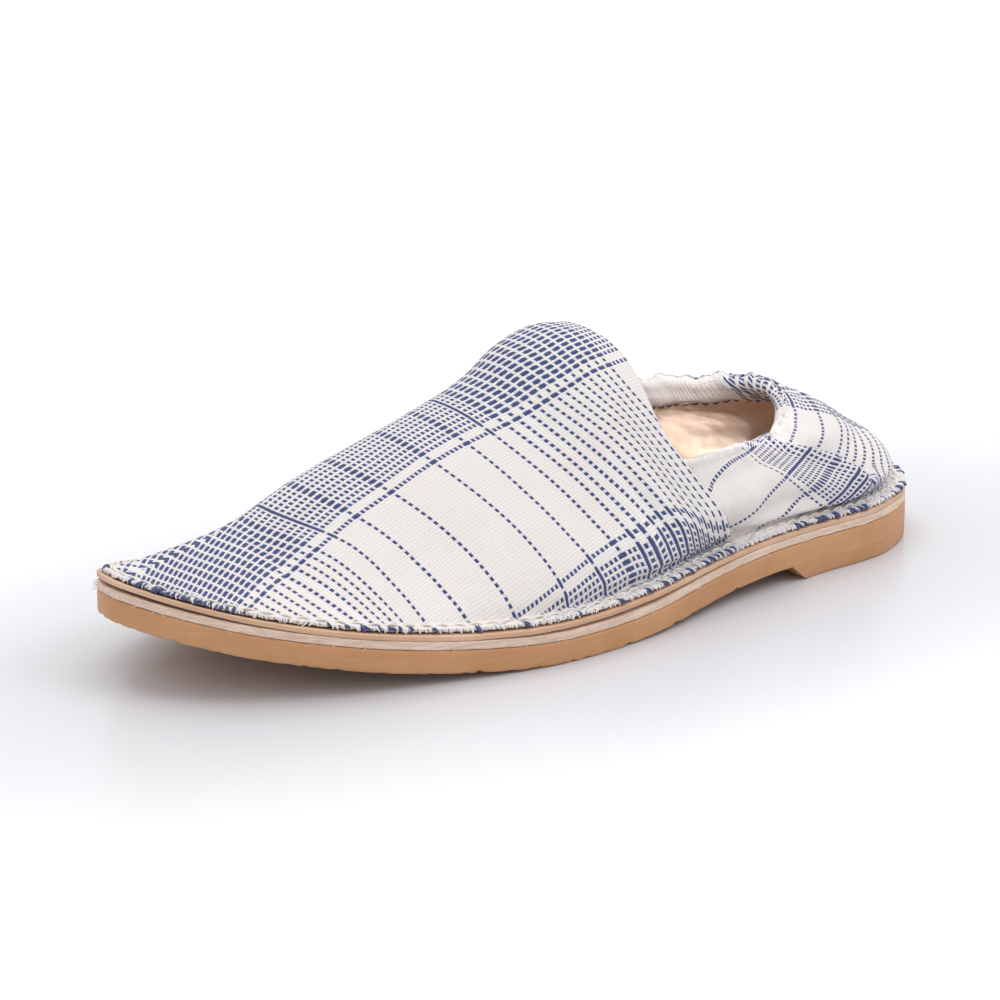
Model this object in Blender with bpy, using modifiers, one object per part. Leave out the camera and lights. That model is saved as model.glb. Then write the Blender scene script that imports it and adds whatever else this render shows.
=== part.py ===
"""Canvas slip-on espadrille for the left foot, put together from the sole upwards.

Frame: toe towards -Y, outer side of the foot towards +X, +Z up.
The origin is on the floor, under the middle of the sole's own box.
Sizes are written in millimetres: along is measured from the toe tip,
across from the middle line (outer side positive), up from the floor.
"""

from collections import namedtuple

import bmesh
import bpy
import numpy as np

MM = 0.001

# Driving dimensions of the sole
LENGTH = 274.5
TOE_SPRING = 17.7          # rise of the underside at the toe tip
SPRING_LENGTH = 110.0      # the toe spring ends here and the forefoot rests on the floor
SPRING_POWER = 1.8
FLAT_END = 120.0           # the forefoot leaves the floor again here
ARCH_RISE = 4.8            # underside of the outsole over the heel
ARCH_END = 205.0
OUTSOLE_THICK = 6.5
MIDSOLE_THICK = 2.2
INSOLE_THICK = 1.2
GAP = 0.3                  # between pieces that lie on each other
FLANGE_GAP = 0.5           # between the insole and the cloth that is turned out on it
TOE_GAPE = 1.6             # insole edge standing off the midsole at the toe
TOE_GAPE_LENGTH = 48.0
SIDE_GAPE_POWER = 3

# Driving dimensions of the heel lift
BREAST_TOP = 203.0         # front of the lift, under the outsole
BREAST_BOTTOM = 209.0      # front of the lift, on the floor
LIFT_DRAW_IN = 0.8         # the lift's lower edge is drawn in this much

# Driving dimensions of the upper
CLOTH_THICK = 1.8
THROAT_OUTER = 181.0       # the vamp's rear corners on the sole's edge
THROAT_INNER = 177.0
BULGE_HEIGHT = 13.0        # the vamp is widest from here up
CREST_ROUND = 0.15         # rounding of the vamp's top line, as a share of the slope's width
THROAT_SWEEP = 0.85        # how the throat edge sweeps back from its top to its corners
JOIN_TURN = 0.36           # share of the throat edge that the quarter is joined to
JOIN_BLEND = 0.15          # share of the quarter's length that eases into the throat edge

Side = namedtuple("Side", "along outer inner")
Ridge = namedtuple("Ridge", "along across up fullness outer_bulge inner_bulge")
Rim = namedtuple("Rim", "along across up")
Welt = namedtuple("Welt", "along outer inner setback")

TOE_TIP = (0.0, -5.0)
HEEL_END = (LENGTH, 0.0)
SOLE_EDGE = [
    Side(3.0, 8.1, -16.8),
    Side(15.0, 25.6, -28.5),
    Side(42.0, 40.8, -42.1),
    Side(75.0, 49.9, -46.2),
    Side(105.0, 54.6, -41.7),
    Side(140.0, 51.4, -33.2),
    Side(175.0, 42.4, -29.9),
    Side(210.0, 36.8, -31.5),
    Side(245.0, 31.9, -31.0),
    Side(263.5, 20.6, -20.9),
]

# How far the insole's edge stands off the midsole along each side
EDGE_GAPE = [
    Side(75.0, 0.0, 0.0),
    Side(110.0, 0.8, 0.2),
    Side(140.0, 1.2, 0.3),
    Side(165.0, 0.7, 0.2),
    Side(190.0, 0.0, 0.0),
]

# From the sole's edge in to the crease where the upper turns up, and in to the cloth's raw edge
FLANGE = [
    Welt(0.0, 5.0, 5.0, 2.6),
    Welt(42.0, 5.5, 5.5, 2.8),
    Welt(75.0, 6.5, 6.2, 2.6),
    Welt(105.0, 7.6, 6.8, 2.2),
    Welt(140.0, 8.4, 7.4, 1.8),
    Welt(175.0, 8.0, 7.4, 1.4),
    Welt(210.0, 7.0, 7.0, 1.2),
    Welt(245.0, 7.2, 7.0, 1.0),
    Welt(273.0, 7.2, 7.0, 1.0),
]

# Top line of the vamp from toe to throat, and the shape of the slopes below it:
# a fullness of 1 is a straight slope and 2 an ellipse, and each side bulges past its crease
SPINE = [
    Ridge(42.0, -7.0, 37.6, 0.86, 0.0, 0.0),
    Ridge(62.0, -8.0, 45.0, 1.03, 0.4, 0.8),
    Ridge(81.0, -8.0, 51.0, 1.15, 0.8, 1.8),
    Ridge(100.0, -8.0, 56.9, 1.23, 1.6, 3.4),
    Ridge(120.0, -7.0, 65.2, 1.35, 3.4, 6.0),
    Ridge(131.0, -6.5, 72.8, 1.43, 5.0, 7.8),
    Ridge(142.0, -5.5, 76.7, 1.50, 6.8, 9.0),
    Ridge(153.0, -4.0, 76.4, 1.56, 8.6, 9.8),
]
INNER_FULLNESS = 0.22      # the slope on the inner side is fuller by this much

# Rim of the quarter, from the outer side round the heel to the inner side
COLLAR = [
    Rim(188.0, 28.5, 42.6),
    Rim(206.0, 21.0, 40.4),
    Rim(219.5, 11.5, 42.4),
    Rim(229.0, -0.5, 46.0),
    Rim(231.5, -9.0, 47.2),
    Rim(228.0, -18.5, 47.2),
    Rim(218.0, -26.0, 47.0),
    Rim(202.0, -29.2, 48.4),
    Rim(184.0, -29.6, 49.2),
]
SIDE_BOW = 6.5             # how far the quarter's wall is bowed out at the sides
HEEL_BOW = 10.0            # and at the back

# Fineness of the meshes
PLATE_ROWS = 32
PLATE_COLUMNS = 8
VAMP_HALF = 23             # columns of the vamp on each side of the toe tip
TOE_FAN = 7                # of these, the columns that meet at the spine's front end
VAMP_ROWS = 11             # turns of the vamp's slope, from crease to spine
QUARTER_COLUMNS = 26
QUARTER_ROWS = 4           # turns that the quarter shares with the vamp at the throat
FLANGE_ROWS = 2
CURVE_STEPS = 24           # samples on each stretch of a smooth curve
MERGE = 0.01 * MM
SHARP_EDGE = np.radians(40.0)


def smoothstep(value):
    value = np.clip(value, 0.0, 1.0)
    return value * value * (3.0 - 2.0 * value)


def smooth_curve(points, closed):
    """Cubic curve through points, each tangent weighted by its two chords."""
    points = np.array(points, dtype=float)
    step = np.roll(points, -1, axis=0) - points
    chord = np.linalg.norm(step, axis=1)[:, None]
    slope = step / chord
    chord_before = np.roll(chord, 1, axis=0)
    slope_before = np.roll(slope, 1, axis=0)
    tangent = (slope_before * chord + slope * chord_before) / (chord + chord_before)
    if not closed:
        tangent[0] = slope[0]
        tangent[-1] = slope_before[-1]
    share = np.linspace(0.0, 1.0, CURVE_STEPS, endpoint=False)[:, None]
    stretches = []
    for start in range(len(points) if closed else len(points) - 1):
        end = (start + 1) % len(points)
        stretches.append(
            points[start] * (2 * share**3 - 3 * share**2 + 1)
            + points[end] * (3 * share**2 - 2 * share**3)
            + tangent[start] * chord[start] * (share**3 - 2 * share**2 + share)
            + tangent[end] * chord[start] * (share**3 - share**2)
        )
    if not closed:
        stretches.append(points[-1:])
    return np.vstack(stretches)


def smooth_table(rows):
    """A table's named columns, each made a smooth curve."""
    return dict(zip(rows[0]._fields, smooth_curve(rows, closed=False).T))


def read(table, along, name):
    return np.interp(along, table["along"], table[name])


def evenly(points, count):
    """Points spaced evenly by length along a curve."""
    steps = np.linalg.norm(np.diff(points, axis=0), axis=1)
    length = np.concatenate(([0.0], np.cumsum(steps)))
    wanted = np.linspace(0.0, length[-1], count)
    return np.column_stack([np.interp(wanted, length, axis) for axis in points.T])


# The sole's edge runs from the heel end along the inner side to the toe, and back along the outer side
INNER_ROWS = [(row.along, row.inner) for row in reversed(SOLE_EDGE)]
OUTER_ROWS = [(row.along, row.outer) for row in SOLE_EDGE]
EDGE = smooth_curve([HEEL_END] + INNER_ROWS + [TOE_TIP] + OUTER_ROWS, closed=True)
TOE_INDEX = (len(INNER_ROWS) + 1) * CURVE_STEPS
INNER_SIDE = EDGE[:TOE_INDEX + 1]
OUTER_SIDE = np.vstack([EDGE[TOE_INDEX:], EDGE[:1]])
INNER_THROAT = int(np.argmin(abs(INNER_SIDE[:, 0] - THROAT_INNER)))
OUTER_THROAT = TOE_INDEX + int(np.argmin(abs(OUTER_SIDE[:, 0] - THROAT_OUTER)))
MIDDLE_ACROSS = 0.5 * (EDGE[:, 1].max() + EDGE[:, 1].min())

GAPE_CURVE = smooth_table(EDGE_GAPE)
FLANGE_CURVE = smooth_table(FLANGE)
SPINE_CURVE = smooth_table(SPINE)


def inner_edge(along):
    return np.interp(along, INNER_SIDE[::-1, 0], INNER_SIDE[::-1, 1])


def outer_edge(along):
    return np.interp(along, OUTER_SIDE[:, 0], OUTER_SIDE[:, 1])


def sole_bottom(along):
    toe = TOE_SPRING * max(0.0, 1.0 - along / SPRING_LENGTH) ** SPRING_POWER
    arch = ARCH_RISE * smoothstep((along - FLAT_END) / (ARCH_END - FLAT_END))
    return toe + arch


def outsole_top(along):
    return sole_bottom(along) + OUTSOLE_THICK


def midsole_top(along):
    return outsole_top(along) + GAP + MIDSOLE_THICK


def gape(along, across):
    """Height by which the insole's edge has come away from the midsole."""
    toe = TOE_GAPE * max(0.0, 1.0 - along / TOE_GAPE_LENGTH) ** 2
    if across > 0.0:
        share = across / max(outer_edge(along), GAP)
        side = read(GAPE_CURVE, along, "outer")
    else:
        share = across / min(inner_edge(along), -GAP)
        side = read(GAPE_CURVE, along, "inner")
    return toe + side * min(share, 1.0) ** SIDE_GAPE_POWER


def insole_bottom(along, across):
    return midsole_top(along) + GAP + gape(along, across)


def insole_top(along, across):
    return insole_bottom(along, across) + INSOLE_THICK


def flange_top(along, across):
    return insole_top(along, across) + FLANGE_GAP + CLOTH_THICK


def world(along, across, up):
    return ((across - MIDDLE_ACROSS) * MM, (along - 0.5 * LENGTH) * MM, up * MM)


def principled(name, colour, roughness):
    material = bpy.data.materials.new(name)
    material.use_nodes = True
    shader = material.node_tree.nodes["Principled BSDF"]
    shader.inputs["Base Color"].default_value = (*colour, 1.0)
    shader.inputs["Roughness"].default_value = roughness
    shader.inputs["Metallic"].default_value = 0.0
    return material


def finish(name, mesh_data, material, collection):
    """Turn edited mesh data into a named, shaded object."""
    bmesh.ops.remove_doubles(mesh_data, verts=mesh_data.verts, dist=MERGE)
    bmesh.ops.dissolve_degenerate(mesh_data, edges=mesh_data.edges, dist=MERGE)
    mesh = bpy.data.meshes.new(name)
    mesh_data.to_mesh(mesh)
    mesh_data.free()
    mesh.materials.append(material)
    mesh.shade_smooth()
    mesh.set_sharp_from_angle(angle=SHARP_EDGE)
    piece = bpy.data.objects.new(name, mesh)
    collection.objects.link(piece)
    return piece


def grid(columns, rows):
    """Grid whose vertices carry their column and row numbers in x and y."""
    mesh_data = bmesh.new()
    bmesh.ops.create_grid(mesh_data, x_segments=columns, y_segments=rows, size=1.0)
    for vertex in mesh_data.verts:
        vertex.co.x = round((vertex.co.x + 1.0) * 0.5 * columns)
        vertex.co.y = round((vertex.co.y + 1.0) * 0.5 * rows)
    return mesh_data


def stations(start):
    """Rows of a plate, close together at both ends, with the flat forefoot's two edges among them."""
    turn = np.linspace(0.0, np.pi, PLATE_ROWS + 1)
    rows = start + (LENGTH - start) * 0.5 * (1.0 - np.cos(turn))
    for flat_edge in (SPRING_LENGTH, FLAT_END):
        if start < flat_edge:
            rows[np.argmin(abs(rows - flat_edge))] = flat_edge
    return rows


def plate(name, start, underside, topside, material, collection):
    """Layer of the sole from start to the heel end, between two surfaces over its outline."""
    mesh_data = grid(PLATE_COLUMNS, PLATE_ROWS)
    lower = list(mesh_data.verts)
    block = bmesh.ops.extrude_face_region(mesh_data, geom=mesh_data.faces[:])
    upper = [item for item in block["geom"] if isinstance(item, bmesh.types.BMVert)]
    rows = stations(start)
    for vertices, surface in ((lower, underside), (upper, topside)):
        for vertex in vertices:
            along = rows[int(vertex.co.y)]
            inner = inner_edge(along)
            across = inner + (outer_edge(along) - inner) * vertex.co.x / PLATE_COLUMNS
            vertex.co = world(*surface(along, across))
    bmesh.ops.recalc_face_normals(mesh_data, faces=mesh_data.faces)
    return finish(name, mesh_data, material, collection)


def build_outsole(material, collection):
    def underside(along, across):
        return along, across, sole_bottom(along)

    def topside(along, across):
        return along, across, outsole_top(along)

    return plate("outsole", 0.0, underside, topside, material, collection)


def build_heel_lift(material, collection):
    """Block under the heel with a sloped front, its lower edge drawn in a little all round."""
    drawn_length = LENGTH - LIFT_DRAW_IN - BREAST_BOTTOM
    narrowing = 1.0 - LIFT_DRAW_IN / outer_edge(BREAST_TOP)

    def underside(along, across):
        back = (along - BREAST_TOP) / (LENGTH - BREAST_TOP)
        return BREAST_BOTTOM + back * drawn_length, across * narrowing, 0.0

    def topside(along, across):
        return along, across, sole_bottom(along) - GAP

    return plate("heel_lift", BREAST_TOP, underside, topside, material, collection)


def build_midsole(material, collection):
    def underside(along, across):
        return along, across, outsole_top(along) + GAP

    def topside(along, across):
        return along, across, midsole_top(along)

    return plate("midsole", 0.0, underside, topside, material, collection)


def build_insole(material, collection):
    def underside(along, across):
        return along, across, insole_bottom(along, across)

    def topside(along, across):
        return along, across, insole_top(along, across)

    return plate("insole", 0.0, underside, topside, material, collection)


def outward(point):
    """Level direction square to the sole's edge."""
    nearest = np.argmin(np.linalg.norm(EDGE - point, axis=1))
    ahead = EDGE[(nearest + 1) % len(EDGE)] - EDGE[nearest - 1]
    return np.array([-ahead[1], ahead[0]]) / np.linalg.norm(ahead)


def edge_columns(start, end, count):
    """Points and outward directions spaced evenly on the sole's edge between two of its points."""
    points = evenly(np.vstack([EDGE, EDGE])[start:end + 1], count + 1)
    return points, np.array([outward(point) for point in points])


def flange_point(point, direction, share):
    """Point on the flange: 0 at the cloth's raw edge, 1 at the crease."""
    crease = read(FLANGE_CURVE, point[0], "outer" if point[1] > 0.0 else "inner")
    raw_edge = read(FLANGE_CURVE, point[0], "setback")
    along, across = point - direction * (raw_edge + (crease - raw_edge) * share)
    return np.array([along, across, flange_top(along, across)])


def slope_point(crease, from_toe, turn):
    """Point on the vamp's slope above a crease point: turn 0 at the crease, 1 on the spine."""
    share = max(0.0, (from_toe - TOE_FAN) / (VAMP_HALF - TOE_FAN))
    spine_along = SPINE[0].along + share * (SPINE[-1].along - SPINE[0].along)
    top = np.array([read(SPINE_CURVE, spine_along, axis) for axis in ("along", "across", "up")])
    inner = crease[1] < top[1]
    fullness = read(SPINE_CURVE, spine_along, "fullness") + INNER_FULLNESS * share * inner
    most_bulge = read(SPINE_CURVE, spine_along, "inner_bulge" if inner else "outer_bulge")

    climb = np.sin(turn * 0.5 * np.pi) ** (2.0 / fullness)
    slope = np.cos(turn * 0.5 * np.pi) ** (2.0 / fullness)
    crest = CREST_ROUND * smoothstep(from_toe / TOE_FAN)
    reach = np.sqrt((crest + slope * (np.hypot(1.0, crest) - crest)) ** 2 - crest**2)

    up = crease[2] + (top[2] - crease[2]) * climb
    span = crease[:2] - top[:2]
    bulge = most_bulge * smoothstep((up - crease[2]) / BULGE_HEIGHT)
    along, across = top[:2] + span * reach * (1.0 + bulge / np.linalg.norm(span))
    swept = top[0] + span[0] * (1.0 - climb) ** THROAT_SWEEP
    return np.array([along + (swept - along) * share, across, up])


def wall_point(crease, rim, direction, bow, share):
    """Point on the quarter's wall: a quadratic curve bowed outwards between crease and rim."""
    chord = rim - crease
    out = np.array([direction[0], direction[1], 0.0])
    square = out - chord * (out @ chord) / (chord @ chord)
    control = 0.5 * (crease + rim) + bow * square / np.linalg.norm(square)
    return crease * (1 - share) ** 2 + control * 2 * share * (1 - share) + rim * share**2


def throat_turns():
    """Turns of the vamp's rows: the quarter is joined to the first QUARTER_ROWS of them."""
    joined = np.linspace(0.0, JOIN_TURN, QUARTER_ROWS + 1)
    free = np.linspace(JOIN_TURN, 1.0, VAMP_ROWS - QUARTER_ROWS + 1)
    return np.concatenate([joined, free[1:]])


def vamp_sheet():
    """Forepart of the upper, from the flange's raw edge up to the spine."""
    sheet = grid(2 * VAMP_HALF, FLANGE_ROWS + VAMP_ROWS)
    inner_points, inner_directions = edge_columns(INNER_THROAT, TOE_INDEX, VAMP_HALF)
    outer_points, outer_directions = edge_columns(TOE_INDEX, OUTER_THROAT, VAMP_HALF)
    points = np.vstack([inner_points, outer_points[1:]])
    directions = np.vstack([inner_directions, outer_directions[1:]])
    turns = throat_turns()
    for vertex in sheet.verts:
        number = int(vertex.co.x)
        row = int(vertex.co.y)
        if row <= FLANGE_ROWS:
            place = flange_point(points[number], directions[number], row / FLANGE_ROWS)
        else:
            crease = flange_point(points[number], directions[number], 1.0)
            place = slope_point(crease, abs(number - VAMP_HALF), turns[row - FLANGE_ROWS])
        vertex.co = world(*place)
    return sheet


def quarter_sheet():
    """Rear part of the upper, from throat to throat round the heel, joined on to the vamp's edges."""
    sheet = grid(QUARTER_COLUMNS, FLANGE_ROWS + QUARTER_ROWS)
    points, directions = edge_columns(OUTER_THROAT, INNER_THROAT + len(EDGE), QUARTER_COLUMNS)
    creases = [flange_point(point, out, 1.0) for point, out in zip(points, directions)]
    turns = throat_turns()
    outer_join = slope_point(creases[0], VAMP_HALF, JOIN_TURN)
    inner_join = slope_point(creases[-1], VAMP_HALF, JOIN_TURN)
    rim_curve = smooth_curve([outer_join] + [list(row) for row in COLLAR] + [inner_join], closed=False)
    rim = evenly(rim_curve, QUARTER_COLUMNS + 1)

    for vertex in sheet.verts:
        number = int(vertex.co.x)
        row = int(vertex.co.y)
        if row <= FLANGE_ROWS:
            vertex.co = world(*flange_point(points[number], directions[number], row / FLANGE_ROWS))
            continue
        share = (row - FLANGE_ROWS) / QUARTER_ROWS
        round_heel = number / QUARTER_COLUMNS
        bow = SIDE_BOW + (HEEL_BOW - SIDE_BOW) * np.sin(np.pi * round_heel) ** 2
        place = wall_point(creases[number], rim[number], directions[number], bow, share)
        for end, away in ((0, round_heel), (-1, 1.0 - round_heel)):
            joined = slope_point(creases[end], VAMP_HALF, turns[row - FLANGE_ROWS])
            plain = wall_point(creases[end], rim[end], directions[end], SIDE_BOW, share)
            place = place + (joined - plain) * (1.0 - smoothstep(away / JOIN_BLEND))
        vertex.co = world(*place)
    return sheet


def build_upper(material, collection):
    """One hollow cloth shell, open at the throat, at the collar and underneath."""
    shell = bmesh.new()
    for sheet in (vamp_sheet(), quarter_sheet()):
        mesh = bpy.data.meshes.new("sheet")
        sheet.to_mesh(mesh)
        sheet.free()
        shell.from_mesh(mesh)
        bpy.data.meshes.remove(mesh)
    upper = finish("upper", shell, material, collection)
    wall = upper.modifiers.new("cloth", "SOLIDIFY")
    wall.thickness = CLOTH_THICK * MM
    wall.offset = -1.0
    wall.use_even_offset = True
    return upper


for old in list(bpy.data.objects):
    bpy.data.objects.remove(old, do_unlink=True)

espadrille = bpy.data.collections.new("canvas_espadrille")
bpy.context.scene.collection.children.link(espadrille)

build_outsole(principled("gum_rubber", (0.55, 0.27, 0.09), 0.55), espadrille)
build_heel_lift(principled("lift_rubber", (0.50, 0.24, 0.08), 0.6), espadrille)
build_midsole(principled("midsole_leather", (0.66, 0.47, 0.32), 0.75), espadrille)
build_insole(principled("insole_leather", (0.62, 0.40, 0.25), 0.6), espadrille)
build_upper(principled("check_canvas", (0.80, 0.77, 0.70), 0.9), espadrille)
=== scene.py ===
"""Looks of a canvas espadrille for the left foot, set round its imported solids.

Sizes are in millimetres: along is measured from the toe tip, across from the
middle line (outer side positive), up from the floor. world() turns them into
the frame's metres, with the toe towards -Y and the outer side towards +X.
"""

from collections import namedtuple

import bpy
import numpy as np
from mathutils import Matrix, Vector, noise

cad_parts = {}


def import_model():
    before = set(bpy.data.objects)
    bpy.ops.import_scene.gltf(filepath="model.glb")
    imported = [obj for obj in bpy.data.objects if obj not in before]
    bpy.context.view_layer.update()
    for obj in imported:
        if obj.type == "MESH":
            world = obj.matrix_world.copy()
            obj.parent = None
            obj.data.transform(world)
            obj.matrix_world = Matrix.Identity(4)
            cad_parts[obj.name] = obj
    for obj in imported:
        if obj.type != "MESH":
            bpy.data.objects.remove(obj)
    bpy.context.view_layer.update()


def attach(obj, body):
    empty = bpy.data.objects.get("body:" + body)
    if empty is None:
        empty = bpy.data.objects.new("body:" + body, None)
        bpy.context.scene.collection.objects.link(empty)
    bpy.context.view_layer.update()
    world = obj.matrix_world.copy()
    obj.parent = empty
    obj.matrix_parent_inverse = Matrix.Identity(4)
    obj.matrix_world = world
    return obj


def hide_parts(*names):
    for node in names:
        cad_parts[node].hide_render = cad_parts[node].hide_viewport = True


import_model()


# Outsole: one sheet of honey-coloured gum rubber, cut round to the foot's outline.
# The knife leaves a smooth side, and a chipped and dusty edge where it breaks out below.
MM = 0.001
LENGTH = 274.5
TOE_SPRING = 17.7
SPRING_LENGTH = 110.0
SPRING_POWER = 1.8
FLAT_END = 120.0
ARCH_RISE = 4.8
ARCH_END = 205.0
OUTSOLE_THICK = 6.5
TOE_TIP = (0.0, -5.0)
HEEL_END = (LENGTH, 0.0)
Side = namedtuple("Side", "along outer inner")
SOLE_EDGE = [
    Side(3.0, 8.1, -16.8),
    Side(15.0, 25.6, -28.5),
    Side(42.0, 40.8, -42.1),
    Side(75.0, 49.9, -46.2),
    Side(105.0, 54.6, -41.7),
    Side(140.0, 51.4, -33.2),
    Side(175.0, 42.4, -29.9),
    Side(210.0, 36.8, -31.5),
    Side(245.0, 31.9, -31.0),
    Side(263.5, 20.6, -20.9),
]
CURVE_STEPS = 24
SOLE_COLUMNS = 240         # on each side of the toe
MIDDLE_START = 34.0        # the layers' rows close on a middle line between these two places
MIDDLE_END = 240.0
MIDDLE_SHARES = (1.0, 0.8, 0.6, 0.42, 0.28, 0.16, 0.08, 0.03)
MERGE = 0.02 * MM
LIFT_COVER = 198.0         # behind this the lift hides the lower edge, so it has no chips
LIFT_COVER_EASE = 6.0
CHIP_SIZE = 2.6
FINE_CHIP_SIZE = 0.9
CHIP_DEPTH = 0.85
CHIP_LEVEL = 0.05
OUTSOLE_DUST = 0.35
DUST_ROWS = 4
GUM_HONEY = (0.550, 0.282, 0.131)
GUM_AMBER = (0.475, 0.226, 0.096)
GUM_DUST = (0.660, 0.460, 0.300)


def smoothstep(value):
    value = np.clip(value, 0.0, 1.0)
    return value * value * (3.0 - 2.0 * value)


def smooth_curve(points, closed):
    """Cubic curve through points, each tangent weighted by its two chords."""
    points = np.array(points, dtype=float)
    step = np.roll(points, -1, axis=0) - points
    chord = np.linalg.norm(step, axis=1)[:, None]
    slope = step / chord
    chord_before = np.roll(chord, 1, axis=0)
    slope_before = np.roll(slope, 1, axis=0)
    tangent = (slope_before * chord + slope * chord_before) / (chord + chord_before)
    if not closed:
        tangent[0] = slope[0]
        tangent[-1] = slope_before[-1]
    share = np.linspace(0.0, 1.0, CURVE_STEPS, endpoint=False)[:, None]
    stretches = []
    for start in range(len(points) if closed else len(points) - 1):
        end = (start + 1) % len(points)
        stretches.append(
            points[start] * (2 * share**3 - 3 * share**2 + 1)
            + points[end] * (3 * share**2 - 2 * share**3)
            + tangent[start] * chord[start] * (share**3 - 2 * share**2 + share)
            + tangent[end] * chord[start] * (share**3 - share**2)
        )
    if not closed:
        stretches.append(points[-1:])
    return np.vstack(stretches)


def distances(points):
    """Length along a curve up to each of its points."""
    steps = np.linalg.norm(np.diff(points, axis=0), axis=-1)
    return np.concatenate(([0.0], np.cumsum(steps)))


def unit(vectors):
    return vectors / np.maximum(np.linalg.norm(vectors, axis=-1, keepdims=True), 1e-9)


inner_rows = [(row.along, row.inner) for row in reversed(SOLE_EDGE)]
outer_rows = [(row.along, row.outer) for row in SOLE_EDGE]
EDGE = smooth_curve([HEEL_END] + inner_rows + [TOE_TIP] + outer_rows, closed=True)
TOE_INDEX = (len(inner_rows) + 1) * CURVE_STEPS
INNER_SIDE = EDGE[:TOE_INDEX + 1]
OUTER_SIDE = np.vstack([EDGE[TOE_INDEX:], EDGE[:1]])
MIDDLE_ACROSS = 0.5 * (EDGE[:, 1].max() + EDGE[:, 1].min())
edge_ahead = np.roll(EDGE, -1, axis=0) - np.roll(EDGE, 1, axis=0)
EDGE_OUT = unit(np.column_stack([-edge_ahead[:, 1], edge_ahead[:, 0]]))
# Two rounds of the edge, so that a walk may pass the heel end
WALK = np.vstack([np.hstack([EDGE, EDGE_OUT])] * 2 + [np.hstack([EDGE, EDGE_OUT])[:1]])
WALK_LENGTH = distances(WALK[:, :2])
ROUND = WALK_LENGTH[len(EDGE)]
TOE_DISTANCE = WALK_LENGTH[TOE_INDEX]


def edge_at(distance):
    """Points of the sole's edge and their outward directions, by distance from the heel end."""
    found = np.column_stack([np.interp(distance, WALK_LENGTH, axis) for axis in WALK.T])
    return found[:, :2], unit(found[:, 2:])


def inner_edge(along):
    return np.interp(along, INNER_SIDE[::-1, 0], INNER_SIDE[::-1, 1])


def outer_edge(along):
    return np.interp(along, OUTER_SIDE[:, 0], OUTER_SIDE[:, 1])


def sole_bottom(along):
    toe = TOE_SPRING * np.maximum(0.0, 1.0 - along / SPRING_LENGTH) ** SPRING_POWER
    return toe + ARCH_RISE * smoothstep((along - FLAT_END) / (ARCH_END - FLAT_END))


def world(points):
    return (points[..., [1, 0, 2]] - (MIDDLE_ACROSS, 0.5 * LENGTH, 0.0)) * MM


def wander(points, size, seed):
    """Smooth noise from -1 to 1 at points, with lumps of about the given size."""
    flat = np.reshape(points, (-1, np.shape(points)[-1])) / size
    if flat.shape[1] == 2:
        flat = np.column_stack([flat, np.zeros(len(flat))])
    found = [noise.noise(Vector(place) + Vector((seed, seed, seed))) for place in flat]
    return np.reshape(found, np.shape(points)[:-1])


def lay_net(name, net):
    """Grid primitive laid on a net of points, with each vertex's row and column in the net."""
    rows, columns = net.shape[0] - 1, net.shape[1] - 1
    bpy.ops.object.select_all(action="DESELECT")
    bpy.ops.mesh.primitive_grid_add(x_subdivisions=columns, y_subdivisions=rows, size=2.0)
    piece = bpy.context.object
    piece.name = name
    piece.data.name = name
    flat = np.empty(3 * len(piece.data.vertices))
    piece.data.vertices.foreach_get("co", flat)
    flat = flat.reshape(-1, 3)
    column = np.rint(0.5 * (flat[:, 0] + 1.0) * columns).astype(int)
    row = np.rint(0.5 * (flat[:, 1] + 1.0) * rows).astype(int)
    piece.data.vertices.foreach_set("co", world(net[row, column]).ravel())
    piece.data.update()
    return piece, row, column


def close_seams(piece):
    bpy.ops.object.mode_set(mode="EDIT")
    bpy.ops.mesh.select_all(action="SELECT")
    bpy.ops.mesh.remove_doubles(threshold=MERGE)
    bpy.ops.object.mode_set(mode="OBJECT")
    piece.select_set(True)


def thicken(piece, thickness):
    wall = piece.modifiers.new("wall", "SOLIDIFY")
    wall.thickness = thickness * MM
    wall.offset = -1.0
    bpy.context.view_layer.objects.active = piece
    bpy.ops.object.modifier_apply(modifier=wall.name)


def shade(piece, sharp_angle):
    bpy.ops.object.select_all(action="DESELECT")
    piece.select_set(True)
    bpy.context.view_layer.objects.active = piece
    bpy.ops.object.shade_smooth_by_angle(angle=np.radians(sharp_angle))


def sole_ring():
    """The sole's edge once round from the heel end, and the middle-line points that face it."""
    inner = np.linspace(0.0, TOE_DISTANCE, SOLE_COLUMNS + 1)
    outer = np.linspace(TOE_DISTANCE, ROUND, SOLE_COLUMNS + 1)
    points, out = edge_at(np.concatenate([inner, outer[1:]]))
    share = np.abs(np.arange(2 * SOLE_COLUMNS + 1) - SOLE_COLUMNS) / SOLE_COLUMNS
    along = MIDDLE_START + share * (MIDDLE_END - MIDDLE_START)
    return points, out, np.column_stack([along, 0.5 * (inner_edge(along) + outer_edge(along))])


def layer_net(points, out, middle, profile, underside, topside):
    """Closed skin of a sole layer: underside from the middle out, the edge's profile, topside back in.

    The profile's rows are (inset from the edge, share of the layer's height)."""
    rows = []
    lowest = points - out * np.reshape(profile[0][0], (-1, 1))
    highest = points - out * np.reshape(profile[-1][0], (-1, 1))
    for share in MIDDLE_SHARES:
        plan = lowest + (middle - lowest) * share
        rows.append(np.column_stack([plan, underside(*plan.T)]))
    for inset, height in profile:
        plan = points - out * np.reshape(inset, (-1, 1))
        up = underside(*plan.T) * (1.0 - height) + topside(*plan.T) * height
        rows.append(np.column_stack([plan, up]))
    for share in reversed(MIDDLE_SHARES):
        plan = highest + (middle - highest) * share
        rows.append(np.column_stack([plan, topside(*plan.T)]))
    return np.array(rows)


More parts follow.
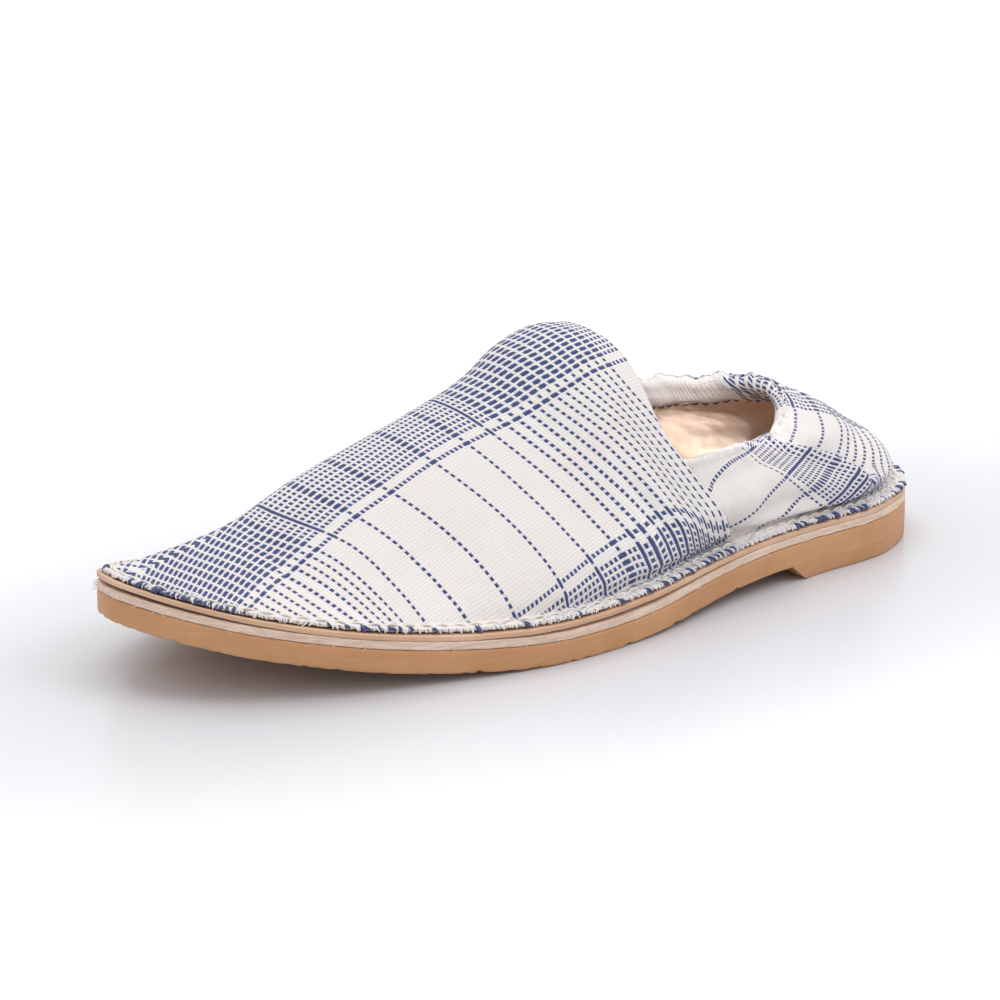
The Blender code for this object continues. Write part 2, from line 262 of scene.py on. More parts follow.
class Value:
    """A number on a surface: sums with it add Math nodes to its finish."""

    def __init__(self, finish, socket):
        self.finish = finish
        self.socket = socket

    def math(self, operation, *others):
        sockets = dict(enumerate((self, *others)))
        return self.finish.value("ShaderNodeMath", {"operation": operation}, sockets)

    def turned(self, operation, other):
        return self.finish.value("ShaderNodeMath", {"operation": operation}, {0: other, 1: self})

    def __add__(self, other):
        return self.math("ADD", other)

    def __radd__(self, other):
        return self.turned("ADD", other)

    def __sub__(self, other):
        return self.math("SUBTRACT", other)

    def __rsub__(self, other):
        return self.turned("SUBTRACT", other)

    def __mul__(self, other):
        return self.math("MULTIPLY", other)

    def __rmul__(self, other):
        return self.turned("MULTIPLY", other)

    def __truediv__(self, other):
        return self.math("DIVIDE", other)

    def __pow__(self, other):
        return self.math("POWER", other)

    def __mod__(self, other):
        return self.math("FLOORED_MODULO", other)

    def __gt__(self, other):
        return self.math("GREATER_THAN", other)

    def __lt__(self, other):
        return self.math("LESS_THAN", other)

    def __abs__(self):
        return self.math("ABSOLUTE")

    def floor(self):
        return self.math("FLOOR")

    def cosine(self):
        return self.math("COSINE")

    def at_least(self, other):
        return self.math("MAXIMUM", other)

    def at_most(self, other):
        return self.math("MINIMUM", other)

    def eased(self, start, end):
        """0 at start, 1 at end, smooth between."""
        return self.finish.value(
            "ShaderNodeMapRange", {"interpolation_type": "SMOOTHSTEP"},
            {"Value": self, "From Min": start, "From Max": end, "To Min": 0.0, "To Max": 1.0})


class Finish:
    """A material in the making, round one Principled shader."""

    def __init__(self, name):
        self.material = bpy.data.materials.new(name)
        self.material.use_nodes = True
        self.tree = self.material.node_tree
        self.shader = self.tree.nodes["Principled BSDF"]

    def node(self, kind, settings, sockets):
        made = self.tree.nodes.new(kind)
        for name, setting in settings.items():
            setattr(made, name, setting)
        for name, value in sockets.items():
            self.feed(made.inputs[name], value)
        return made

    def feed(self, socket, value):
        if isinstance(value, Value):
            value = value.socket
        if isinstance(value, bpy.types.NodeSocket):
            self.tree.links.new(value, socket)
        elif hasattr(value, "__len__") and socket.type == "RGBA":
            socket.default_value = (*value, 1.0)
        else:
            socket.default_value = value

    def value(self, kind, settings, sockets, output=0):
        return Value(self, self.node(kind, settings, sockets).outputs[output])

    def place(self, scale=(1.0, 1.0, 1.0)):
        """Object coordinates, stretched by a scale on each axis."""
        coordinates = self.node("ShaderNodeTexCoord", {}, {}).outputs["Object"]
        return self.node("ShaderNodeMapping", {}, {"Vector": coordinates, "Scale": scale}).outputs[0]

    def noise(self, place, scale, detail=3.0, roughness=0.55):
        return self.value("ShaderNodeTexNoise", {},
                          {"Vector": place, "Scale": scale, "Detail": detail, "Roughness": roughness})

    def mix(self, share, first, second, blend="MIX"):
        node = self.node("ShaderNodeMix", {"data_type": "RGBA", "blend_type": blend},
                         {0: share, 6: first, 7: second})
        return node.outputs[2]

    def surface(self, colour, roughness, height=None, depth=0.0, strength=1.0):
        self.feed(self.shader.inputs["Base Color"], colour)
        self.feed(self.shader.inputs["Roughness"], roughness)
        if height is not None:
            sockets = {"Height": height, "Distance": depth * MM, "Strength": strength}
            self.feed(self.shader.inputs["Normal"], self.node("ShaderNodeBump", {}, sockets).outputs[0])
        return self.material


def gum_rubber(name, honey, amber):
    """Smooth gum with cloudy colour, faint knife streaks along its side and dust on the broken edge."""
    gum = Finish(name)
    place = gum.place()
    clouds = gum.noise(place, 38.0, 4.0)
    streaks = gum.noise(gum.place((60.0, 60.0, 900.0)), 1.0, 3.0)
    specks = gum.noise(place, 900.0, 2.0)
    dust = gum.value("ShaderNodeAttribute", {"attribute_name": "dust"}, {}, "Fac")
    colour = gum.mix(clouds.eased(0.30, 0.72), amber, honey)
    colour = gum.mix(streaks.eased(0.52, 0.80) * 0.22, colour, GUM_DUST)
    colour = gum.mix((dust * specks.eased(0.35, 0.60)).at_most(1.0) * 0.75, colour, GUM_DUST)
    roughness = 0.40 + 0.16 * clouds + 0.30 * dust
    height = streaks * 0.5 + specks * 0.3 + dust * specks * 2.0
    gum.shader.inputs["Specular IOR Level"].default_value = 0.42
    return gum.surface(colour, roughness, height, 0.14, 0.6)


def paint(piece, name, values):
    """Numbers kept on a piece's vertices, for its material to read."""
    layer = piece.data.attributes.new(name, "FLOAT", "POINT")
    layer.data.foreach_set("value", np.asarray(values, dtype=np.float32))


def dust_edge(piece, row, rows_up, amount):
    """Dust on a layer's broken lower edge, fading over the first rows of its side."""
    edge_row = row - len(MIDDLE_SHARES)
    on_edge = (edge_row >= 0) & (edge_row < rows_up)
    paint(piece, "dust", np.where(on_edge, 1.0 - edge_row / rows_up, 0.0) * amount)


def place_piece(piece, material, slot, *nodes):
    piece.data.materials.clear()
    piece.data.materials.append(material)
    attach(piece, "root")
    if nodes:
        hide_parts(*nodes)


ring, ring_out, ring_middle = sole_ring()
over_lift = smoothstep((ring[:, 0] - LIFT_COVER) / LIFT_COVER_EASE)
# The noise goes by place, so that it is the same at the ring's two ends
chips = wander(ring, CHIP_SIZE, 3.0) + 0.4 * wander(ring, FINE_CHIP_SIZE, 7.0) - CHIP_LEVEL
chips = np.maximum(0.0, chips) * CHIP_DEPTH * (1.0 - over_lift)
break_out = 1.0 - 0.9 * over_lift
GUM_PROFILE = [
    (0.55 * break_out + 1.6 * chips, 0.13 * chips),
    (0.22 * break_out + 1.0 * chips, 0.03 + 0.12 * chips),
    (0.05 * break_out + 0.4 * chips, 0.09 + 0.10 * chips),
    (0.0, 0.17 + 0.06 * chips),
    (0.0, 0.30),
    (0.0, 0.48),
    (0.0, 0.66),
    (0.0, 0.84),
    (0.03, 0.94),
    (0.28, 1.0),
]


def outsole_under(along, across):
    return sole_bottom(along)


def outsole_top(along, across):
    return sole_bottom(along) + OUTSOLE_THICK


gum_net = layer_net(ring, ring_out, ring_middle, GUM_PROFILE, outsole_under, outsole_top)
outsole, row, column = lay_net("gum_outsole", gum_net)
dust_edge(outsole, row, DUST_ROWS, OUTSOLE_DUST + chips[column])
close_seams(outsole)
shade(outsole, 50.0)
place_piece(outsole, gum_rubber("gum_rubber", GUM_HONEY, GUM_AMBER), "gum_rubber", "outsole")


# Heel lift: a block of the same gum under the heel, with a sloped front.
# It is cemented on and trimmed with the outsole, so only a fine line parts them.
GAP = 0.3
BREAST_TOP = 203.0
BREAST_BOTTOM = 209.0
LIFT_DRAW_IN = 0.8
LIFT_COLUMNS = 200
BREAST_COLUMNS = 60
LIFT_MIDDLE = (240.0, 0.5)
LIFT_DUST = 0.3
LIFT_DUST_ROWS = 3
LIFT_HONEY = (0.530, 0.270, 0.128)
LIFT_AMBER = (0.455, 0.216, 0.092)


def lift_ring():
    """Outline of the lift's top: round the heel from the outer corner, and back along the front."""
    outer_start = np.interp(BREAST_TOP, OUTER_SIDE[:, 0], TOE_DISTANCE + distances(OUTER_SIDE))
    inner_end = ROUND + np.interp(BREAST_TOP, INNER_SIDE[::-1, 0], distances(INNER_SIDE)[::-1])
    points, out = edge_at(np.linspace(outer_start, inner_end, LIFT_COLUMNS + 1))
    front = np.linspace(points[-1], points[0], BREAST_COLUMNS + 1)
    front_out = np.repeat([(-1.0, 0.0)], BREAST_COLUMNS + 1, axis=0)
    return np.vstack([points, front[1:]]), np.vstack([out, front_out[1:]])


lift_points, lift_out = lift_ring()
lift_chips = np.maximum(0.0, wander(lift_points, CHIP_SIZE, 11.0)) * CHIP_DEPTH
lift_middle = np.repeat([LIFT_MIDDLE], len(lift_points), axis=0)
LIFT_PROFILE = [
    (0.5 + 0.8 * lift_chips, 0.0),
    (0.12 + 0.5 * lift_chips, 0.06),
    (0.0, 0.16),
    (0.0, 0.40),
    (0.0, 0.65),
    (0.0, 0.88),
    (0.05, 1.0),
]


def lift_under(along, across):
    return np.zeros_like(along)


def lift_top(along, across):
    return sole_bottom(along) - 0.1 * GAP


lift_net = layer_net(lift_points, lift_out, lift_middle, LIFT_PROFILE, lift_under, lift_top)
lift_squeeze = (LENGTH - LIFT_DRAW_IN - BREAST_BOTTOM) / (LENGTH - BREAST_TOP)
drawn_back = BREAST_BOTTOM + (lift_net[..., 0] - BREAST_TOP) * lift_squeeze
low_share = 1.0 - np.clip(lift_net[..., 2] / ARCH_RISE, 0.0, 1.0)
lift_net[..., 0] += (drawn_back - lift_net[..., 0]) * low_share
lift_net[..., 1] *= 1.0 - low_share * LIFT_DRAW_IN / outer_edge(BREAST_TOP)
lift, row, column = lay_net("gum_heel_lift", lift_net)
dust_edge(lift, row, LIFT_DUST_ROWS, LIFT_DUST + lift_chips[column])
close_seams(lift)
shade(lift, 50.0)
place_piece(lift, gum_rubber("lift_rubber", LIFT_HONEY, LIFT_AMBER), "lift_rubber", "heel_lift")


# Midsole: a thin sheet of pale split leather between outsole and insole.
# Its cut edge is left raw, so it is ragged and layered, with loose fibres at the toe.
MIDSOLE_THICK = 2.2
RAGGED_SIZE = 5.0
RAGGED_DEPTH = 0.28
TOE_RAGGED_SIZE = 2.4
TOE_RAGGED_DEPTH = 0.5
TOE_RAGGED_LENGTH = 60.0
LAYER_HEIGHTS = (0.08, 0.22, 0.36, 0.50, 0.64, 0.78, 0.92)
LAYER_ROUGH = 0.20
LAYER_ROUGH_SIZE = 2.0
FIBRE_ROUGH = 0.10
FIBRE_ROUGH_SIZE = 0.8
MIDSOLE_PALE = (0.805, 0.635, 0.520)
MIDSOLE_TAN = (0.640, 0.450, 0.335)
FIBRE_PALE = (0.850, 0.745, 0.660)


def midsole_under(along, across):
    return sole_bottom(along) + OUTSOLE_THICK + 0.5 * GAP


def midsole_top(along, across):
    return sole_bottom(along) + OUTSOLE_THICK + GAP + MIDSOLE_THICK


def raw_leather(name, pale, tan):
    """Raw cut leather: layered fibres along the edge, fuzzy and quite matt."""
    leather = Finish(name)
    layers = leather.noise(leather.place((90.0, 90.0, 1500.0)), 1.0, 4.0, 0.65)
    fibres = leather.noise(leather.place((420.0, 420.0, 2600.0)), 1.0, 3.0, 0.6)
    blotches = leather.noise(leather.place(), 55.0, 3.0)
    colour = leather.mix(layers.eased(0.30, 0.66), tan, pale)
    colour = leather.mix(blotches.eased(0.45, 0.75) * 0.35, colour, tan)
    colour = leather.mix(fibres.eased(0.50, 0.75) * 0.55, colour, FIBRE_PALE)
    leather.shader.inputs["Sheen Weight"].default_value = 0.15
    return leather.surface(colour, 0.82 + 0.12 * fibres, layers * 1.4 + fibres, 0.35, 0.9)


ragged = RAGGED_DEPTH * wander(ring, RAGGED_SIZE, 21.0)
near_toe = 1.0 - smoothstep(ring[:, 0] / TOE_RAGGED_LENGTH)
toe_ragged = TOE_RAGGED_DEPTH * near_toe * wander(ring, TOE_RAGGED_SIZE, 27.0)
midsole_profile = [(0.35 + ragged, 0.0)]
for height in LAYER_HEIGHTS:
    layer = LAYER_ROUGH * wander(ring, LAYER_ROUGH_SIZE, 31.0 + 9.0 * height)
    layer = layer + FIBRE_ROUGH * wander(ring, FIBRE_ROUGH_SIZE, 41.0 + 9.0 * height)
    midsole_profile.append((0.12 + ragged + toe_ragged + layer, height))
midsole_profile.append((0.32 + ragged + toe_ragged, 1.0))
midsole_net = layer_net(ring, ring_out, ring_middle, midsole_profile, midsole_under, midsole_top)
midsole, row, column = lay_net("leather_midsole", midsole_net)
close_seams(midsole)
shade(midsole, 60.0)
edge_leather = raw_leather("midsole_leather", MIDSOLE_PALE, MIDSOLE_TAN)
place_piece(midsole, edge_leather, "midsole_leather", "midsole")


# Insole: a sheet of smooth pinkish tan leather that the foot stands on.
# Its edge has lifted off the midsole round the toe and along the outer side, which leaves a dark gap.
INSOLE_THICK = 1.38
INSOLE_LINE = 0.12         # the fine line between insole and midsole, where they hold
TOE_GAPE = 1.1
TOE_GAPE_LENGTH = 48.0
SIDE_GAPE_POWER = 3
EDGE_GAPE = [
    Side(75.0, 0.0, 0.0),
    Side(110.0, 0.8, 0.2),
    Side(140.0, 1.2, 0.3),
    Side(165.0, 0.7, 0.2),
    Side(190.0, 0.0, 0.0),
]
INSOLE_WAVE = 0.30
INSOLE_WAVE_SIZE = 9.0
INSOLE_NICK = 0.12
INSOLE_NICK_SIZE = 2.6
TREAD_ROW = 2.0            # the foot's wear begins this many rows in from the edge
TREAD_EASE_ROWS = 3.0
INSOLE_PINK = (0.740, 0.500, 0.360)
INSOLE_TAN = (0.570, 0.350, 0.220)
INSOLE_WORN = (0.330, 0.165, 0.080)


def smooth_table(rows):
    """A table's named columns, each made a smooth curve."""
    return dict(zip(rows[0]._fields, smooth_curve(rows, closed=False).T))


def read(table, along, name):
    return np.interp(along, table["along"], table[name])


GAPE_CURVE = smooth_table(EDGE_GAPE)


def gape(along, across):
    """Height by which the insole's edge has come away from the midsole."""
    toe = TOE_GAPE * np.maximum(0.0, 1.0 - along / TOE_GAPE_LENGTH) ** 2
    outer = np.clip(across / np.maximum(outer_edge(along), GAP), 0.0, 1.0)
    inner = np.clip(across / np.minimum(inner_edge(along), -GAP), 0.0, 1.0)
    side = read(GAPE_CURVE, along, "outer") * outer**SIDE_GAPE_POWER
    return toe + side + read(GAPE_CURVE, along, "inner") * inner**SIDE_GAPE_POWER


def insole_under(along, across):
    return midsole_top(along, across) + INSOLE_LINE + gape(along, across)


def insole_top(along, across):
    return insole_under(along, across) + INSOLE_THICK


def insole_leather(name):
    """Smooth leather with a fine grain, pinkish at its cut edge and darker where the foot rubs."""
    leather = Finish(name)
    place = leather.place()
    grain = leather.value("ShaderNodeTexVoronoi", {"feature": "DISTANCE_TO_EDGE"},
                          {"Vector": place, "Scale": 1100.0, "Randomness": 1.0})
    clouds = leather.noise(place, 30.0, 4.0)
    scuffs = leather.noise(leather.place((500.0, 60.0, 500.0)), 1.0, 3.0)
    tread = leather.value("ShaderNodeAttribute", {"attribute_name": "tread"}, {}, "Fac")
    colour = leather.mix(clouds.eased(0.3, 0.7), INSOLE_PINK, INSOLE_TAN)
    colour = leather.mix(tread * (0.45 + 0.5 * clouds), colour, INSOLE_WORN)
    colour = leather.mix(scuffs.eased(0.60, 0.80) * 0.25, colour, INSOLE_PINK)
    roughness = 0.58 + 0.18 * clouds - 0.12 * tread
    return leather.surface(colour, roughness, grain.eased(0.0, 0.25) + clouds * 0.6, 0.12, 0.5)


insole_wave = INSOLE_WAVE * wander(ring, INSOLE_WAVE_SIZE, 51.0)
insole_wave = insole_wave + INSOLE_NICK * wander(ring, INSOLE_NICK_SIZE, 57.0)
INSOLE_PROFILE = [
    (0.22 + insole_wave, 0.0),
    (0.10 + insole_wave, 0.10),
    (0.16 + insole_wave, 0.50),
    (0.10 + insole_wave, 0.90),
    (0.24 + insole_wave, 1.0),
]
insole_net = layer_net(ring, ring_out, ring_middle, INSOLE_PROFILE, insole_under, insole_top)
insole, row, column = lay_net("leather_insole", insole_net)
top_row = row - len(MIDDLE_SHARES) - len(INSOLE_PROFILE)
worn = smoothstep((top_row - TREAD_ROW) / TREAD_EASE_ROWS)
paint(insole, "tread", np.where(top_row >= 0, worn, 0.0))
close_seams(insole)
shade(insole, 50.0)
place_piece(insole, insole_leather("insole_leather"), "insole_leather", "insole")


# Vamp: coarse plain-woven cotton canvas, off-white with indigo check threads, pulled over the foot in one
# piece. It is turned out below, sewn down to the insole and left frayed, and hemmed at the throat.
FLANGE_GAP = 0.5
CLOTH_THICK = 1.8
CANVAS_THICK = 0.9
THROAT_OUTER = 181.0
THROAT_INNER = 177.0
BULGE_HEIGHT = 13.0
CREST_ROUND = 0.15
THROAT_SWEEP = 0.85
TOE_FAN = 7.0 / 23.0       # share of each half's columns that meet at the ridge's front end
INNER_FULLNESS = 0.22
FLANGE_SETTLE = 0.9        # the single cloth lies this much lower than the solid's doubled edge
Ridge = namedtuple("Ridge", "along across up fullness outer_bulge inner_bulge")
Welt = namedtuple("Welt", "along outer inner setback")
FLANGE = [
    Welt(0.0, 5.0, 5.0, 2.6),
    Welt(42.0, 5.5, 5.5, 2.8),
    Welt(75.0, 6.0, 5.8, 2.6),
    Welt(105.0, 6.2, 6.0, 2.2),
    Welt(140.0, 6.2, 6.0, 1.8),
    Welt(175.0, 5.8, 5.8, 1.4),
    Welt(210.0, 5.4, 5.4, 1.2),
    Welt(245.0, 5.4, 5.4, 1.0),
    Welt(273.0, 5.4, 5.4, 1.0),
]
SPINE = [
    Ridge(42.0, -7.0, 37.6, 0.86, 0.0, 0.0),
    Ridge(62.0, -8.0, 45.0, 1.03, 0.4, 0.8),
    Ridge(81.0, -8.0, 51.0, 1.15, 0.8, 1.8),
    Ridge(100.0, -8.0, 56.9, 1.23, 1.6, 3.4),
    Ridge(120.0, -7.0, 65.2, 1.35, 3.4, 6.0),
    Ridge(131.0, -6.5, 72.8, 1.43, 5.0, 7.8),
    Ridge(142.0, -5.5, 76.7, 1.50, 6.8, 9.0),
    Ridge(153.0, -4.0, 76.4, 1.56, 8.6, 9.8),
]
VAMP_HALF = 130
SLOPE_ROWS = 56
FLANGE_ROWS = 10
OVERHANG_LOW = 4.0         # height above the crease where the cloth swells out most
OVERHANG_HIGH = 13.0
VAMP_OVERHANG = 2.2
HEM_ROLL = 0.95            # radius of the folded throat edge
HEM_DEPTH = 7.0
HEM_COLUMNS = 6
ROLL_COLUMNS = 7
THREAD_ACROSS = 1.0        # pitch of the lengthwise threads
THREAD_ALONG = 0.76        # pitch of the crosswise threads
TOE_SPREAD = 0.28          # round the toe the inner side is cut full, so fewer threads lie across it
TOE_SPREAD_START = 40.0
TOE_SPREAD_EASE = 50.0
RIDGE_ROUND = 7.0          # the crosswise threads round off over the ridge
# Where crosswise threads lie along the shoe, at these distances down from the ridge
DOWN = (0.0, 20.0, 40.0, 60.0, 80.0)
Pick = namedtuple("Pick", "number ridge high middle low edge")
PICKS = [
    Pick(-71, -33.0, -27.0, -22.0, -18.0, -16.0),
    Pick(-45, -10.0, -3.0, 3.0, 7.0, 9.0),
    Pick(-19, 13.5, 21.5, 28.0, 32.0, 34.0),
    Pick(5, 34.5, 46.3, 52.0, 54.5, 56.0),
    Pick(26, 49.0, 61.2, 66.2, 68.5, 70.0),
    Pick(39, 60.0, 69.8, 76.4, 80.3, 83.5),
    Pick(55, 73.0, 82.2, 89.3, 93.5, 97.0),
    Pick(77, 90.0, 97.5, 104.8, 109.7, 113.5),
    Pick(93, 101.5, 108.2, 115.0, 121.6, 129.0),
    Pick(111, 113.0, 120.0, 128.7, 137.0, 145.7),
    Pick(119, 119.0, 126.4, 134.8, 144.5, 153.0),
    Pick(135, 129.5, 136.0, 146.5, 157.0, 167.5),
    Pick(147, 138.5, 144.0, 154.0, 165.3, 178.0),
    Pick(164, 152.5, 156.3, 165.0, 176.0, 190.0),
    Pick(190, 172.0, 175.0, 184.0, 196.0, 212.0),
]
# On the inner side the crosswise threads lean by this share of what they do on the outer one
Lean = namedtuple("Lean", "number share")
INNER_SKEW = [Lean(-71, -0.7), Lean(-30, -0.6), Lean(5, -0.1), Lean(40, 0.4), Lean(77, 1.0)]
# How far down from the ridge the lengthwise threads 22 and 67 lie, along the shoe
End = namedtuple("End", "along upper lower")
UPPER_END = 22.0
LOWER_END = 67.0
ENDS = [
    End(-5.0, 52.0, 98.0),
    End(25.0, 31.5, 78.0),
    End(40.0, 25.0, 72.5),
    End(60.0, 21.9, 71.0),
    End(80.0, 20.5, 70.0),
    End(97.0, 19.2, 69.5),
    End(112.0, 20.2, 67.5),
    End(124.0, 22.2, 65.8),
    End(137.0, 25.0, 66.2),
    End(146.0, 24.0, 68.5),
    End(156.0, 21.0, 69.5),
    End(185.0, 20.5, 72.0),
]
# The hem lies on or off the solid's throat edge by this much, from the ridge down
Hem = namedtuple("Hem", "down shift")
THROAT_SHIFT = [
    Hem(0.0, 1.5),
    Hem(20.0, 1.0),
    Hem(32.0, -2.6),
    Hem(45.0, -6.4),
    Hem(66.0, -5.2),
    Hem(84.0, -1.0),
]
SHIFT_COLUMNS = 26
Threads = namedtuple("Threads", "first last every")
VAMP_LENGTHWISE = [Threads(0, 18, 2), Threads(22, 22, 1), Threads(67, 67, 1), Threads(71, 121, 2)]
VAMP_CROSSWISE = [
    Threads(-103, 17, 4),
    Threads(26, 26, 1),
    Threads(39, 39, 1),
    Threads(55, 55, 1),
    Threads(77, 77, 1),
    Threads(93, 93, 1),
    Threads(104, 104, 1),
    Threads(111, 159, 4),
]
# Soft folds: where on the cloth, how far they run, how wide and how deep
Fold = namedtuple("Fold", "v u_start u_end lean width depth")
VAMP_FOLDS = [
    Fold(92.0, 52.0, 84.0, 0.35, 7.0, -0.9),
    Fold(104.0, 50.0, 84.0, 0.35, 5.0, 0.6),
    Fold(28.0, 34.0, 62.0, 0.05, 13.0, -0.7),
    Fold(64.0, 40.0, 76.0, 0.10, 11.0, 0.5),
    Fold(34.0, -60.0, -34.0, -0.05, 12.0, -0.6),
    Fold(88.0, -78.0, -46.0, -0.30, 8.0, -0.9),
    Fold(12.0, 8.0, 30.0, 0.10, 9.0, -0.4),
]
FOLD_END = 0.35            # share of a fold's run in which it dies out at either end
SWELL_START = 60.0         # the vamp begins to swell out over its turned-out edge here
SWELL_EASE = 90.0
PUCKER_DEPTH = 0.22
PUCKER_LENGTH = 6.1
PUCKER_ROWS = 9.0
FLANGE_FADE_ROWS = 5.0
CANVAS_WHITE = (0.800, 0.765, 0.745)
CANVAS_BLUSH = (0.785, 0.722, 0.692)
# Painted shade in the weave's hollows, also used for a little random dark fuzz
CANVAS_HOLLOW_SHADE = (0.430, 0.405, 0.410)
CANVAS_TINGED = (0.400, 0.440, 0.580)   # where a dyed thread shows through
INDIGO = (0.030, 0.043, 0.130)
INDIGO_WORN = (0.066, 0.090, 0.235)
DYED_SWELL = 0.11          # dyed threads are thicker, and crowd the white ones beside them
DYED_STAND = 0.25          # and stand this much higher, in thread radii
FLANGE_FADE = 0.65         # share of the dye that is worn off at the raw edge

FLANGE_CURVE = smooth_table(FLANGE)
SPINE_CURVE = smooth_table(SPINE)
OUTER_THROAT = TOE_DISTANCE + np.interp(THROAT_OUTER, OUTER_SIDE[:, 0], distances(OUTER_SIDE))
INNER_THROAT = np.interp(THROAT_INNER, INNER_SIDE[::-1, 0], distances(INNER_SIDE)[::-1])


def flange_points(points, out, share):
    """Points on the turned-out edge: share 0 at the raw edge, 1 at the crease."""
    crease = np.where(points[:, 1] > 0.0, read(FLANGE_CURVE, points[:, 0], "outer"),
                      read(FLANGE_CURVE, points[:, 0], "inner"))
    raw = read(FLANGE_CURVE, points[:, 0], "setback")
    plan = points - out * (raw + (crease - raw) * share)[:, None]
    up = insole_top(*plan.T) + FLANGE_GAP + CLOTH_THICK - FLANGE_SETTLE * (1.0 - share)
    return np.column_stack([plan, up])


def from_toe(distance):
    """Share of the way from the toe tip to the throat on either side."""
    outer = (distance - TOE_DISTANCE) / (OUTER_THROAT - TOE_DISTANCE)
    inner = (TOE_DISTANCE - distance) / (TOE_DISTANCE - INNER_THROAT)
    return np.maximum(outer, inner)


def slope_points(crease, toe_share, turn):
    """Points on the vamp's slope above crease points: turn 0 at the crease, 1 on the ridge."""
    share = np.maximum(0.0, (toe_share - TOE_FAN) / (1.0 - TOE_FAN))
    at = SPINE[0].along + share * (SPINE[-1].along - SPINE[0].along)
    top = np.column_stack([read(SPINE_CURVE, at, axis) for axis in ("along", "across", "up")])
    inner = crease[:, 1] < top[:, 1]
    fullness = read(SPINE_CURVE, at, "fullness") + INNER_FULLNESS * share * inner
    most_bulge = np.where(inner, read(SPINE_CURVE, at, "inner_bulge"), read(SPINE_CURVE, at, "outer_bulge"))

    climb = np.sin(turn * 0.5 * np.pi) ** (2.0 / fullness)
    slope = np.cos(turn * 0.5 * np.pi) ** (2.0 / fullness)
    crest = CREST_ROUND * smoothstep(toe_share / TOE_FAN)
    full = (crest + slope * (np.hypot(1.0, crest) - crest)) ** 2 - crest**2
    reach = np.sqrt(np.maximum(full, 0.0))

    up = crease[:, 2] + (top[:, 2] - crease[:, 2]) * climb
    span = crease[:, :2] - top[:, :2]
    bulge = most_bulge * smoothstep((up - crease[:, 2]) / BULGE_HEIGHT)
    plan = top[:, :2] + span * (reach * (1.0 + bulge / np.linalg.norm(span, axis=1)))[:, None]
    swept = top[:, 0] + span[:, 0] * (1.0 - climb) ** THROAT_SWEEP
    return np.column_stack([plan[:, 0] + (swept - plan[:, 0]) * share, plan[:, 1], up])


def vamp_rows(distance):
    """Net of the vamp's outer face over places on the sole's edge, from the raw edge up to the ridge."""
    points, out = edge_at(distance)
    crease = flange_points(points, out, 1.0)
    toe_share = from_toe(distance)
    rows = [flange_points(points, out, share) for share in np.linspace(0.0, 1.0, FLANGE_ROWS + 1)]
    rows += [slope_points(crease, toe_share, turn) for turn in np.linspace(0.0, 1.0, SLOPE_ROWS + 1)[1:]]
    return np.array(rows)


def outward_normals(net):
    """Directions square to a net's outer face."""
    return unit(np.cross(np.gradient(net, axis=0), np.gradient(net, axis=1)))


def ridge_frames(net, normals):
    """One normal for both halves on the ridge, and the ridge's own direction towards the heel."""
    half = net.shape[1] // 2
    ridge = net[-1, half:]
    ahead = np.gradient(ridge, axis=0)
    first = int(np.argmax(np.linalg.norm(ahead, axis=1) > 1e-6)) + 2
    ahead[:first] = ahead[first]
    ahead = unit(np.vstack([ahead[:0:-1], ahead]))
    above = np.array([0.0, 0.0, 1.0])
    normals[-1] = unit(above - ahead * (ahead @ above)[:, None])
    return normals, ahead


def flat_cloth(net, normals, ahead):
    """Flat cloth coordinates of the vamp: u across from the ridge, v along it.

    The cloth is unrolled column by column from the ridge down, its grain carried along the surface."""
    half = net.shape[1] // 2
    along_ridge = distances(net[-1, half:])
    u = np.zeros(net.shape[:2])
    v = np.zeros(net.shape[:2])
    v[-1] = np.concatenate([along_ridge[:0:-1], along_ridge])
    grain = ahead.copy()
    for row in range(len(net) - 2, -1, -1):
        normal = normals[row]
        grain = unit(grain - normal * (grain * normal).sum(1)[:, None])
        step = net[row] - net[row + 1]
        u[row] = u[row + 1] + (step * np.cross(normal, grain)).sum(1)
        v[row] = v[row + 1] + (step * grain).sum(1)
    return u, v


def vamp_threads(along, u):
    """Thread numbers on the vamp, from where its check lines lie."""
    down = np.minimum(np.hypot(u, RIDGE_ROUND) - RIDGE_ROUND, DOWN[-1])
    stations = np.arange(0.0, DOWN[-1] + 1.0)
    lines = []
    for pick in PICKS:
        curve = smooth_curve(list(zip(DOWN, pick[1:])), closed=False)
        lines.append(np.interp(stations, curve[:, 0], curve[:, 1]))
    lines = np.array(lines)
    numbers = [pick.number for pick in PICKS]
    # At the toe the cloth lies askew, so there its threads run on over the ridge and not back
    skew = np.interp(numbers, [place.number for place in INNER_SKEW], [place.share for place in INNER_SKEW])
    inner_lines = lines[:, :1] + (lines - lines[:, :1]) * skew[:, None]
    picks = np.empty_like(u)
    for place in np.ndindex(*u.shape):
        station = int(down[place])
        share = down[place] - station
        side = lines if u[place] >= 0.0 else inner_lines
        line = side[:, station] * (1.0 - share) + side[:, min(station + 1, len(stations) - 1)] * share
        picks[place] = np.interp(along[place], line, numbers)

    ends_curve = smooth_table(ENDS)
    upper = read(ends_curve, along, "upper")
    lower = read(ends_curve, along, "lower")
    between = UPPER_END + (u - upper) * (LOWER_END - UPPER_END) / (lower - upper)
    ends = np.where(u < upper, UPPER_END + (u - upper) / THREAD_ACROSS,
                    np.where(u < lower, between, LOWER_END + (u - lower) / THREAD_ACROSS))
    spread = TOE_SPREAD * (1.0 - smoothstep((along - TOE_SPREAD_START) / TOE_SPREAD_EASE))
    ends = ends - np.minimum(u, 0.0) * spread
    return ends + 0.5, picks + 0.5


